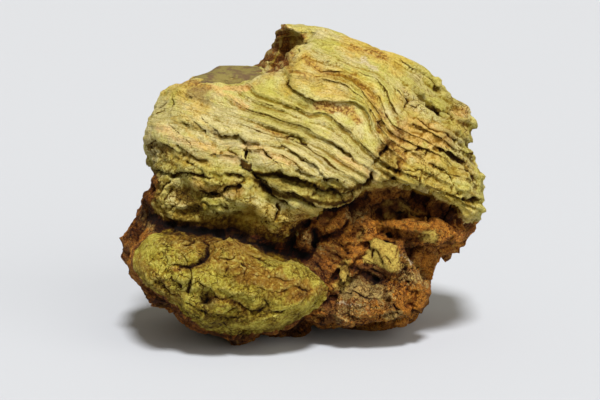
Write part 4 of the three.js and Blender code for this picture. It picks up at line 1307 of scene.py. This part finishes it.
# %% Streaks and patches
STAIN_MARGIN = 40
FRAY = 0.6
SOFT_EDGE = 0.8
Patches = namedtuple("Patches", "share size octaves seed low high")
OCHRE_PATCHES = Patches(0.8, 11, 3, 83, 0.1, 0.7)
RUST_PATCHES = Patches(0.6, 9, 3, 85, 0.35, 0.9)
PEACH_PATCHES = Patches(0.6, 8, 2, 87, 0.4, 0.9)
GREEN_PATCHES = Patches(0.7, 10, 2, 89, 0.0, 0.7)
GREY_PATCHES = Patches(0.6, 7, 2, 91, 0.3, 0.8)
ORANGE_PATCHES = Patches(0.7, 6, 3, 93, 0.15, 0.8)
DEEP_ROUNDS = 400
WIDE_ROUNDS = 50
FINE_ROUNDS = 4


def stained(streaks):
    """The share of each point that is covered by a set of streaks."""
    share = np.zeros(len(places))
    fray = FRAY * rough(places, 3.0, 3, 81)
    for reach, strength, *points in streaks:
        chosen = near_enough(view.wobbly, points, STAIN_MARGIN)
        near = near_line(view.wobbly[chosen], points)
        ragged = reach * (1 + fray[chosen])
        cover = strength * ease(ragged - near.distance, -SOFT_EDGE * reach, SOFT_EDGE * reach)
        share[chosen] = np.maximum(share[chosen], cover * view.front[chosen])
    return share


def patchy(patches):
    spots = rough(places, patches.size, patches.octaves, patches.seed)
    return patches.share * ease(spots, patches.low, patches.high)


def hollows(rounds):
    """How many millimetres a point lies below the mean of its surroundings; negative on crests."""
    smooth = relax(places, edges, rounds)
    return ((smooth - places) * outward(specimen, smooth)).sum(1)


far = 1 - view.front
print("share of the points on the guessed sides:", far.mean().round(2))

# %% Stored masks
DARK_HALF = 0.25  # millimetres from the middle of a gap
CRAZE_HALF = 0.2
FACET_GAPS = 0.5
masks = {
    "layer": layer,
    "clay": folded,
    "lobe": lobed,
    "ochre": np.maximum(stained(OCHRE_STAINS), far * patchy(OCHRE_PATCHES)),
    "rust": np.maximum(stained(RUST_STAINS), far * patchy(RUST_PATCHES)),
    "wall": rusty_shaded_wall,
    "peach": np.maximum(stained(PEACH_STAINS), far * patchy(PEACH_PATCHES)),
    "green": np.maximum(stained(GREEN_AND_SHADE_STAINS), far * patchy(GREEN_PATCHES)),
    "dust_and_shade": stained(DUST_AND_SHADE_STAINS),
    "grey": np.maximum(stained(GREY_STAINS), limonite * far * patchy(GREY_PATCHES)),
    "cream": stained(CREAM_STAINS),
    "white": stained(WHITE_STAINS),
    "orange": np.maximum(stained(ORANGE_STAINS), patchy(ORANGE_PATCHES)) * limonite,
    "yellow": np.maximum(stained(YELLOW_STAINS), leafy * limonite),
    "olive": olive_face,
    "seams": seams,
    "cracks_off": np.maximum(cracks_off, CRACK_REACH * olive_face),
    "facet": lumps.number,
    "crumbly": np.maximum(crumbly, np.maximum(lobed, limonite)),
    "gaps": np.maximum.reduce([
        FACET_GAPS * limonite * dip(lumps.border, DARK_HALF),
        crumbly * dip(clods.border, DARK_HALF) * open_clods,
        lobed * dip(plates.border, CRAZE_HALF) * open_craze,
    ]),
    # the three depths drive the painted shade in hollows and the painted highlight on crests
    "hollow_deep": hollows(DEEP_ROUNDS),
    "hollow_wide": hollows(WIDE_ROUNDS),
    "hollow_fine": hollows(FINE_ROUNDS),
}
write_places(specimen, places)
for name, values in masks.items():
    attribute = specimen.data.attributes.new(name, "FLOAT", "POINT")
    attribute.data.foreach_set("value", values.astype(np.float32))
    print(name, np.percentile(values, (5, 50, 95)).round(2))

# %% [markdown]
# ## The earthy material
# All of the specimen is dry and matt, so one material does, and what varies is its colour and its finest
# grain. It reads the masks from the points and makes their borders ragged with noise that is finer than the
# mesh. A shader could also be built by hand in the node editor; the helpers below add one node each, so
# that a coat of colour is one line. The sizes that they are given are in millimetres.

# %% Node helpers
def linear(red, green, blue):
    """A colour for a socket, from its sRGB values out of 255."""
    def straight(value):
        value = value / 255
        return value / 12.92 if value <= 0.04045 else ((value + 0.055) / 1.055) ** 2.4
    return (straight(red), straight(green), straight(blue), 1.0)


def add_node(tree, kind, inputs=None, **settings):
    node = tree.nodes.new(kind)
    node.location = (200 * (len(tree.nodes) % 16), -260 * (len(tree.nodes) // 16))
    for name, value in settings.items():
        setattr(node, name, value)
    for socket, value in (inputs or {}).items():
        if isinstance(value, bpy.types.NodeSocket):
            tree.links.new(value, node.inputs[socket])
        else:
            node.inputs[socket].default_value = value
    return node


def math_node(tree, operation, a, b=0.0):
    return add_node(tree, "ShaderNodeMath", {0: a, 1: b}, operation=operation).outputs[0]


def spread(tree, value, low, high, share=1.0):
    """A smooth step from 0 at one value to a share at another."""
    inputs = {"Value": value, "From Min": low, "From Max": high, "To Max": share}
    return add_node(tree, "ShaderNodeMapRange", inputs, interpolation_type="SMOOTHSTEP").outputs[0]


def noise_node(tree, place, scale, detail=3.0, roughness=0.55, distortion=0.0):
    inputs = {"Vector": place, "Scale": scale, "Detail": detail, "Roughness": roughness}
    inputs["Distortion"] = distortion
    return add_node(tree, "ShaderNodeTexNoise", inputs).outputs[0]


def vector_node(tree, operation, **inputs):
    named = {{"a": 0, "b": 1, "scale": "Scale"}[name]: value for name, value in inputs.items()}
    return add_node(tree, "ShaderNodeVectorMath", named, operation=operation).outputs[0]


def new_group(name, inputs, output):
    tree = bpy.data.node_groups.new(name, "ShaderNodeTree")
    for socket, value in inputs.items():
        kind = "NodeSocketVector" if isinstance(value, tuple) else "NodeSocketFloat"
        tree.interface.new_socket(socket, in_out="INPUT", socket_type=kind).default_value = value
    tree.interface.new_socket(output, in_out="OUTPUT", socket_type="NodeSocketFloat")
    return tree, tree.nodes.new("NodeGroupInput").outputs, tree.nodes.new("NodeGroupOutput").inputs


def use_group(tree, group, **inputs):
    sockets = {name.capitalize(): value for name, value in inputs.items()}
    return add_node(tree, "ShaderNodeGroup", sockets, node_tree=group).outputs[0]


print("middle grey for a socket:", round(linear(128, 128, 128)[0], 3))

# %% [markdown]
# ## Groups
# Four effects are used again and again: a mask with a ragged border, streaks along the layers, specks, and
# thin cracks around small plates. Each is a node group with named inputs and one output, made once. The
# streaks come from stretched noise, which changes quickly across the layers and slowly along them.

# %% Groups: ragged mask, streaks
def make_ragged():
    """A mask gets a border as ragged as a stain in porous rock, and as soft as asked."""
    inputs = {"Mask": 0.0, "Place": (0.0, 0.0, 0.0), "Size": 1.0, "Fray": 0.8, "Softness": 0.35}
    tree, given, result = new_group("ragged mask", inputs, "Mask")
    scale = math_node(tree, "DIVIDE", 1.0, given["Size"])
    grain = noise_node(tree, given["Place"], scale, 4.0, 0.62)
    push = math_node(tree, "MULTIPLY", math_node(tree, "SUBTRACT", grain, 0.5), given["Fray"])
    broken = math_node(tree, "ADD", given["Mask"], push)
    low = math_node(tree, "SUBTRACT", 0.5, given["Softness"])
    high = math_node(tree, "ADD", 0.5, given["Softness"])
    tree.links.new(spread(tree, broken, low, high), result["Mask"])
    return tree


def make_streaks():
    """Noise that changes quickly across the layers and slowly along them."""
    inputs = {"Layer": 0.0, "Place": (0.0, 0.0, 0.0), "Thickness": 0.5, "Length": 8.0}
    tree, given, result = new_group("streaks", inputs, "Streaks")
    across = math_node(tree, "DIVIDE", given["Layer"], given["Thickness"])
    shrink = math_node(tree, "DIVIDE", 1.0, given["Length"])
    stretched = vector_node(tree, "SCALE", a=given["Place"], scale=shrink)
    parts = add_node(tree, "ShaderNodeSeparateXYZ", {0: stretched})
    along = math_node(tree, "SUBTRACT", parts.outputs[0], parts.outputs[2])
    vector = add_node(tree, "ShaderNodeCombineXYZ", {0: across, 1: along, 2: parts.outputs[1]})
    tree.links.new(noise_node(tree, vector.outputs[0], 1.0, 3.0, 0.6), result["Streaks"])
    return tree


ragged_mask = make_ragged()
streaks = make_streaks()


# %% Groups: specks, crazing
SPECKS_FROM = 0.78  # noise above this is a speck, and the limit sinks with the amount
SPECKS_MORE = 0.4
SPECKS_EDGE = 0.09
CRAZED_PATCHES = 0.35  # scale against that of the plates
CRAZED_FROM = (0.48, 0.6)


def make_specks():
    """Small scattered spots, each a little ragged."""
    inputs = {"Place": (0.0, 0.0, 0.0), "Size": 0.6, "Amount": 0.3}
    tree, given, result = new_group("specks", inputs, "Specks")
    scale = math_node(tree, "DIVIDE", 1.0, given["Size"])
    grain = noise_node(tree, given["Place"], scale, 2.0, 0.5)
    lowered = math_node(tree, "MULTIPLY", given["Amount"], SPECKS_MORE)
    limit = math_node(tree, "SUBTRACT", SPECKS_FROM, lowered)
    above = math_node(tree, "SUBTRACT", grain, limit)
    tree.links.new(spread(tree, above, 0.0, SPECKS_EDGE), result["Specks"])
    return tree


def make_crazing():
    """Thin cracks around small plates, open in some places and closed in others."""
    inputs = {"Place": (0.0, 0.0, 0.0), "Size": 3.0, "Width": 0.12, "Warp": 1.0}
    tree, given, result = new_group("crazing", inputs, "Cracks")
    bend_inputs = {"Vector": given["Place"], "Scale": 0.8, "Detail": 3.0}
    bend = add_node(tree, "ShaderNodeTexNoise", bend_inputs).outputs["Color"]
    centred = vector_node(tree, "SUBTRACT", a=bend, b=(0.5, 0.5, 0.5))
    push = vector_node(tree, "SCALE", a=centred, scale=given["Warp"])
    bent = vector_node(tree, "ADD", a=given["Place"], b=push)
    scale = math_node(tree, "DIVIDE", 1.0, given["Size"])
    inputs = {"Vector": bent, "Scale": scale}
    plates = add_node(tree, "ShaderNodeTexVoronoi", inputs, feature="DISTANCE_TO_EDGE")
    gap = math_node(tree, "MULTIPLY", plates.outputs["Distance"], given["Size"])
    inside = spread(tree, gap, 0.0, given["Width"])
    open_scale = math_node(tree, "MULTIPLY", scale, CRAZED_PATCHES)
    opened = spread(tree, noise_node(tree, given["Place"], open_scale, 3.0), *CRAZED_FROM)
    cracks = math_node(tree, "MULTIPLY", math_node(tree, "SUBTRACT", 1.0, inside), opened)
    tree.links.new(cracks, result["Cracks"])
    return tree


specks = make_specks()
crazing = make_crazing()
print("groups:", [group.name for group in (ragged_mask, streaks, specks, crazing)])

# %% Colours
CLAY_PALE = linear(210, 203, 112)
CLAY_CREAM = linear(216, 203, 150)
CLAY_GREEN = linear(170, 160, 52)
CLAY_OCHRE = linear(212, 174, 68)
CLAY_PEACH = linear(236, 182, 118)
LOBE_YELLOW = linear(202, 188, 80)
LOBE_GREEN = linear(172, 162, 62)
LOBE_ORANGE = linear(146, 98, 30)
LOBE_BRIGHT = linear(220, 206, 96)
LIMONITE_BROWN = linear(190, 130, 58)
LIMONITE_RED = linear(172, 106, 50)
LIMONITE_DARK = linear(74, 43, 22)
LIMONITE_ORANGE = linear(210, 138, 44)
LIMONITE_GREY = linear(204, 184, 116)
CLAY_REMNANT = linear(214, 190, 92)
RUST = linear(120, 70, 28)
RUST_GLOW = linear(194, 146, 58)
WALL_RUST_AND_SHADE = linear(104, 60, 32)
OLIVE = linear(128, 116, 66)
OLIVE_STAIN = linear(104, 84, 60)
GREY_STAIN = linear(116, 92, 64)
WHITE_CRUST = linear(218, 204, 176)
CREST_HIGHLIGHT = linear(230, 216, 134)
# painted shade for hollows, also the dark of cracks, seams and pits: clay tints, then limonite tints
CLAY_SHADE_CRACK_AND_GRAIN = linear(194, 171, 66)
CLAY_DEEP_SHADE_AND_CRACK = linear(96, 66, 30)
BROWN_SHADE_AND_CRACK = linear(156, 116, 72)
BROWN_DEEP_SHADE_AND_CRACK = linear(84, 54, 34)


print("palest clay:", [round(value, 3) for value in CLAY_CREAM])

# %% [markdown]
# ## Shared noises and masks
# The material is built like a painting: grounds first, then coats. What several coats need comes before
# them: the place on the specimen in millimetres, noises at the sizes of patches, crumbs and grain, streaks,
# and the shares of clay, lobe and olive face with ragged borders.

# %% Place, noises and shares of the grounds
material = bpy.data.materials.new("clay_and_limonite_rock")
material.use_nodes = True
rock = material.node_tree
rock.nodes.clear()
spot = add_node(rock, "ShaderNodeTexCoord").outputs["Object"]
place = vector_node(rock, "SCALE", a=spot, scale=1 / MM)


def times(a, b):
    return math_node(rock, "MULTIPLY", a, b)


def plus(a, b):
    return math_node(rock, "ADD", a, b)


def minus(a, b):
    return math_node(rock, "SUBTRACT", a, b)


def part(value, low, high, share=1.0):
    return spread(rock, value, low, high, share)


def off(value, middle):
    """How far a value is from its middle, which draws a vein through noise."""
    return math_node(rock, "ABSOLUTE", minus(value, middle))


def stored(name):
    return add_node(rock, "ShaderNodeAttribute", attribute_name=name).outputs["Fac"]


def stain(name, size, fray, softness, share=1.0):
    """A stored mask, with a border that is broken up by noise of a size."""
    mask = stored(name)
    ragged = use_group(rock, ragged_mask, mask=mask, place=place, size=size, fray=fray, softness=softness)
    return times(ragged, share)


layer_depth = stored("layer")
thin = use_group(rock, streaks, layer=layer_depth, place=place, thickness=0.36, length=5.0)
broad = use_group(rock, streaks, layer=layer_depth, place=place, thickness=1.9, length=14.0)
bedding = use_group(rock, streaks, layer=layer_depth, place=place, thickness=0.8, length=3.0)
grain = noise_node(rock, place, 1.2, 6.0, 0.72, 0.9)
crumbs = noise_node(rock, place, 2.4, 5.0, 0.7, 0.7)
patches = noise_node(rock, place, 0.16, 3.0, 0.6)
blotches = noise_node(rock, place, 0.45, 5.0, 0.7)
is_clay = stain("clay", 0.9, 0.8, 0.15)
is_lobe = stain("lobe", 0.9, 0.8, 0.15)
is_olive = stain("olive", 0.6, 0.3, 0.3)
is_pale = math_node(rock, "MAXIMUM", is_clay, is_lobe)
loose = stored("crumbly")
in_layers = times(is_clay, minus(1.0, loose))
print("nodes so far:", len(rock.nodes))

# %% [markdown]
# ## Colours of the grounds
# Clay, lobe and limonite each start with one colour, and coats go over it: a share from noise or a stain,
# and the colour that it brings. They could be mixed in one long colour ramp, but coats can each follow
# their own mask. Most shares stay well under 1, because on the real stone every colour lets the one below
# through.

# %% Clay and lobe
def painted(ground, *coats):
    """Coats of colour over a ground: each is a share, a colour and, if need be, a way to blend."""
    for share, colour, *blend in coats:
        way = blend[0] if blend else "MIX"
        inputs = {0: share, 6: ground, 7: colour}
        ground = add_node(rock, "ShaderNodeMix", inputs, data_type="RGBA", blend_type=way).outputs[2]
    return ground


clay = painted(
    CLAY_PALE,
    (part(patches, 0.35, 0.65), CLAY_CREAM),
    (stain("cream", 0.9, 1.1, 0.5, 0.8), CLAY_CREAM),
    (part(broad, 0.45, 0.75, 0.4), CLAY_GREEN),
    (part(thin, 0.5, 0.68, 0.5), CLAY_GREEN),
    # the green stain is fresh clay, and in part painted shade
    (stain("green", 1.0, 1.1, 0.5, 0.7), CLAY_GREEN),
    (stain("peach", 0.8, 1.1, 0.5, 0.6), CLAY_PEACH),
    (stain("ochre", 0.9, 1.4, 0.5, 0.6), CLAY_OCHRE),
)
lobe = painted(
    LOBE_YELLOW,
    (part(blotches, 0.4, 0.6), LOBE_GREEN),
    (stain("ochre", 0.9, 1.5, 0.5, 0.85), LOBE_ORANGE),
    (stain("peach", 0.8, 0.9, 0.5, 0.4), CLAY_PEACH),
    (part(grain, 0.48, 0.36, 0.6), LOBE_BRIGHT),
    (part(grain, 0.52, 0.66, 0.7), CLAY_SHADE_CRACK_AND_GRAIN, "MULTIPLY"),
)
print("nodes so far:", len(rock.nodes))

# %% Limonite and olive face
facet = stored("facet")
limonite_brown = painted(
    LIMONITE_BROWN,
    (part(blotches, 0.4, 0.6), LIMONITE_RED),
    (part(crumbs, 0.47, 0.36, 0.8), LIMONITE_ORANGE),
    (part(facet, 0.1, 0.5, 0.55), LIMONITE_ORANGE),
    (part(facet, -0.1, -0.5, 0.6), LIMONITE_DARK),
    (stain("orange", 0.8, 1.5, 0.4, 0.85), LIMONITE_ORANGE),
    (stain("grey", 0.5, 2.6, 0.25, 0.7), LIMONITE_GREY),
    (part(bedding, 0.48, 0.34, 0.3), CLAY_REMNANT),
    (part(bedding, 0.54, 0.66, 0.55), LIMONITE_DARK),
    (part(grain, 0.53, 0.63, 0.7), LIMONITE_DARK),
    (part(off(grain, 0.5), 0.045, 0.0, 0.7), LIMONITE_DARK),
    (stain("yellow", 0.9, 1.3, 0.4, 0.85), CLAY_REMNANT),
)
olive = painted(OLIVE, (part(blotches, 0.46, 0.58), OLIVE_STAIN))
print("nodes so far:", len(rock.nodes))

# %% [markdown]
# ## Stains over all grounds
# The grounds are laid over each other by their shares. Then rust glows around its streaks and sits in them
# as brown specks, the wall of the notch goes rusty brown and dark, the dark partly painted shade, and grey
# and white crusts come last. The olive face covers them all, as it is a clean break.

# %% Grounds together, rust and crusts
rusty = stain("rust", 0.7, 1.0, 0.5)
spots = use_group(rock, specks, place=place, size=0.6, amount=0.78)
walled = stain("wall", 0.8, 1.0, 0.4)
freckles = use_group(rock, specks, place=place, size=1.1, amount=0.42)
ground = painted(
    limonite_brown,
    (is_clay, clay),
    (is_lobe, lobe),
    (times(rusty, 0.7), RUST_GLOW),
    (times(rusty, times(spots, 0.85)), RUST),
    # the notch wall: rusty brown, made darker as painted shade in the notch
    (times(walled, 0.95), WALL_RUST_AND_SHADE),
    (times(walled, part(crumbs, 0.48, 0.38, 0.6)), LIMONITE_ORANGE),
    (times(freckles, times(is_lobe, 0.55)), RUST),
    (times(freckles, times(is_clay, 0.25)), CLAY_OCHRE),
    (times(stain("grey", 0.7, 1.2, 0.5, 0.6), is_pale), GREY_STAIN),
    (stain("white", 0.5, 1.8, 0.25, 0.7), WHITE_CRUST),
    (is_olive, olive),
)
print("nodes so far:", len(rock.nodes))

# %% [markdown]
# ## Painted shade in hollows, cracks and dust
# Crests get a painted highlight and hollows a painted shade, which grows the deeper they are. Both come
# from the stored depths. Every shade multiplies the colour below in two stages, as a glaze would: a yellow
# brown where it is thin, and a much darker brown only where it is thick. The same two tints darken the
# stone's own cracks, seams and pits. The drawn cracks are a line around `cracks_off` that noise breaks up.

# %% Painted shade in hollows
def shaded(ground, *shades):
    return painted(ground, *((share, colour, "MULTIPLY") for share, colour in shades))


# painted shade tints: they darken the hollows, and also the stone's own cracks and pits
shade_and_crack_tint = painted(BROWN_SHADE_AND_CRACK, (is_pale, CLAY_SHADE_CRACK_AND_GRAIN))
deep_shade_and_crack_tint = painted(BROWN_DEEP_SHADE_AND_CRACK, (is_pale, CLAY_DEEP_SHADE_AND_CRACK))
fine_hollow = stored("hollow_fine")
deep_hollow = stored("hollow_deep")
# painted highlight: the crests of clay and lobe are painted paler
ground = painted(ground, (times(part(fine_hollow, 0.0, -0.12, 0.3), is_pale), CREST_HIGHLIGHT))
# the first four rows are painted shade in hollows; seams and gaps are the stone's own dark cracks
ground = shaded(
    ground,
    (part(fine_hollow, 0.02, 0.16, 0.75), shade_and_crack_tint),
    (part(stored("hollow_wide"), 0.1, 1.2, 0.8), shade_and_crack_tint),
    (part(deep_hollow, 0.3, 3.0), shade_and_crack_tint),
    (part(deep_hollow, 2.0, 5.5, 0.8), deep_shade_and_crack_tint),
    (part(stored("seams"), 0.25, 1.0, 0.6), shade_and_crack_tint),
    (stain("gaps", 0.6, 0.9, 0.4, 0.6), shade_and_crack_tint),
)
print("nodes so far:", len(rock.nodes))

# %% Crazing, painted shade and dust, crack lines and pits
wide_crazing = use_group(rock, crazing, place=place, size=5.0, width=0.2, warp=4.0)
small_crazing = use_group(rock, crazing, place=place, size=2.2, width=0.16, warp=2.4)
craze = times(math_node(rock, "MAXIMUM", wide_crazing, times(small_crazing, 0.9)), loose)
# the dust streaks, mostly painted shade under the ledges and in the recesses
shade_and_dust = stain("dust_and_shade", 0.7, 1.2, 0.45)
breaks = minus(plus(times(crumbs, 0.7), times(blotches, 0.9)), 0.78)
crack_lines = part(plus(stored("cracks_off"), breaks), 0.3, 0.06)
laminae = times(times(part(off(thin, 0.5), 0.035, 0.0, 0.8), part(broad, 0.42, 0.55)), in_layers)
uneven = minus(plus(0.75, times(loose, 0.25)), times(is_olive, 0.5))
pitted = times(part(crumbs, 0.48, 0.64, 0.9), uneven)
# the dust streaks paint shade; crazing and crack lines are the stone's own dark cracks
for lines, darkest in ((craze, 0.8), (shade_and_dust, 0.85), (crack_lines, 0.75)):
    ground = shaded(ground, (lines, shade_and_crack_tint), (times(times(lines, lines), darkest), deep_shade_and_crack_tint))
ground = shaded(ground, (laminae, shade_and_crack_tint), (pitted, shade_and_crack_tint))
print("nodes so far:", len(rock.nodes))

# %% [markdown]
# ## Grain and finish
# The grain that is finer than the mesh is bump: pits and crumbs all over, ridges along the thin layers, and
# dips in the crack lines. The surface is as matt as dried clay, so it is very rough and hardly reflects.

# %% Bump and shader
GRAIN_DEPTH = 0.9
ROUGHNESS = 0.92
REFLECTION = 0.15
height = times(plus(grain, times(crumbs, 0.6)), times(uneven, -1.1))
height = plus(height, times(part(thin, 0.42, 0.58, 0.2), in_layers))
height = minus(height, times(crack_lines, 0.5))
height = minus(height, times(craze, 0.3))
height = plus(height, times(times(bedding, minus(1.0, is_pale)), 0.45))
bump = add_node(rock, "ShaderNodeBump", {"Strength": 1.0, "Distance": GRAIN_DEPTH * MM, "Height": height})
finish = {
    "Base Color": ground,
    "Roughness": ROUGHNESS,
    "Specular IOR Level": REFLECTION,
    "Normal": bump.outputs[0],
}
shader = add_node(rock, "ShaderNodeBsdfPrincipled", finish)
add_node(rock, "ShaderNodeOutputMaterial", {"Surface": shader.outputs[0]})
specimen.data.materials.append(material)
specimen.data.shade_smooth()
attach(specimen, "root")
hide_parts(NODE)
print("material nodes:", len(rock.nodes))

# %% [markdown]
# ## Floor and light
# The specimen rests on its flat underside on a plain pale floor. A lamp in front and high above gives the
# soft shadows under the ledges, a weak and warm one, low on the right and far broader, opens them a little,
# and a pale warm sky does the rest, as in a photograph made in a light tent.

# %% Floor, lamps and sky
FLOOR_SIZE = 6.0
FLOOR_PAINT = linear(183, 186, 194)
SKY = (1.0, 0.91, 0.7, 1.0)
SKY_STRENGTH = 0.28
LAMPS = {  # direction, strength, width in degrees, tint
    "key": ((0.05, -0.6, 1.0), 4.4, 12, (1.0, 1.0, 0.98)),
    "fill": ((0.8, -0.9, 0.5), 1.45, 60, (1.0, 0.96, 0.86)),
}


def add_floor():
    mesh = bpy.data.meshes.new("floor")
    bm = bmesh.new()
    bmesh.ops.create_grid(bm, x_segments=1, y_segments=1, size=FLOOR_SIZE / 2)
    bm.to_mesh(mesh)
    bm.free()
    material = bpy.data.materials.new("pale_floor")
    material.use_nodes = True
    shader = material.node_tree.nodes["Principled BSDF"]
    shader.inputs["Base Color"].default_value = FLOOR_PAINT
    shader.inputs["Roughness"].default_value = 0.8
    mesh.materials.append(material)
    floor = bpy.data.objects.new("floor", mesh)
    bpy.context.scene.collection.objects.link(floor)


def add_lamp(name, direction, strength, width, tint):
    """A far, broad softbox: an even light from one direction, as wide as it looks from the specimen."""
    data = bpy.data.lights.new(name, "SUN")
    data.energy = strength
    data.angle = math.radians(width)
    data.color = tint
    lamp = bpy.data.objects.new(name, data)
    lamp.location = Vector(direction)
    lamp.rotation_euler = Vector(direction).to_track_quat("Z", "Y").to_euler()
    bpy.context.scene.collection.objects.link(lamp)


add_floor()
for name, values in LAMPS.items():
    add_lamp(name, *values)
world = bpy.data.worlds.new("sky")
world.use_nodes = True
world.node_tree.nodes["Background"].inputs["Color"].default_value = SKY
world.node_tree.nodes["Background"].inputs["Strength"].default_value = SKY_STRENGTH
bpy.context.scene.world = world
bpy.context.scene.view_settings.view_transform = "Standard"
print("lamps:", list(LAMPS))

# %% Triangle count
print("triangles:", sum(len(face.vertices) - 2 for face in specimen.data.polygons))
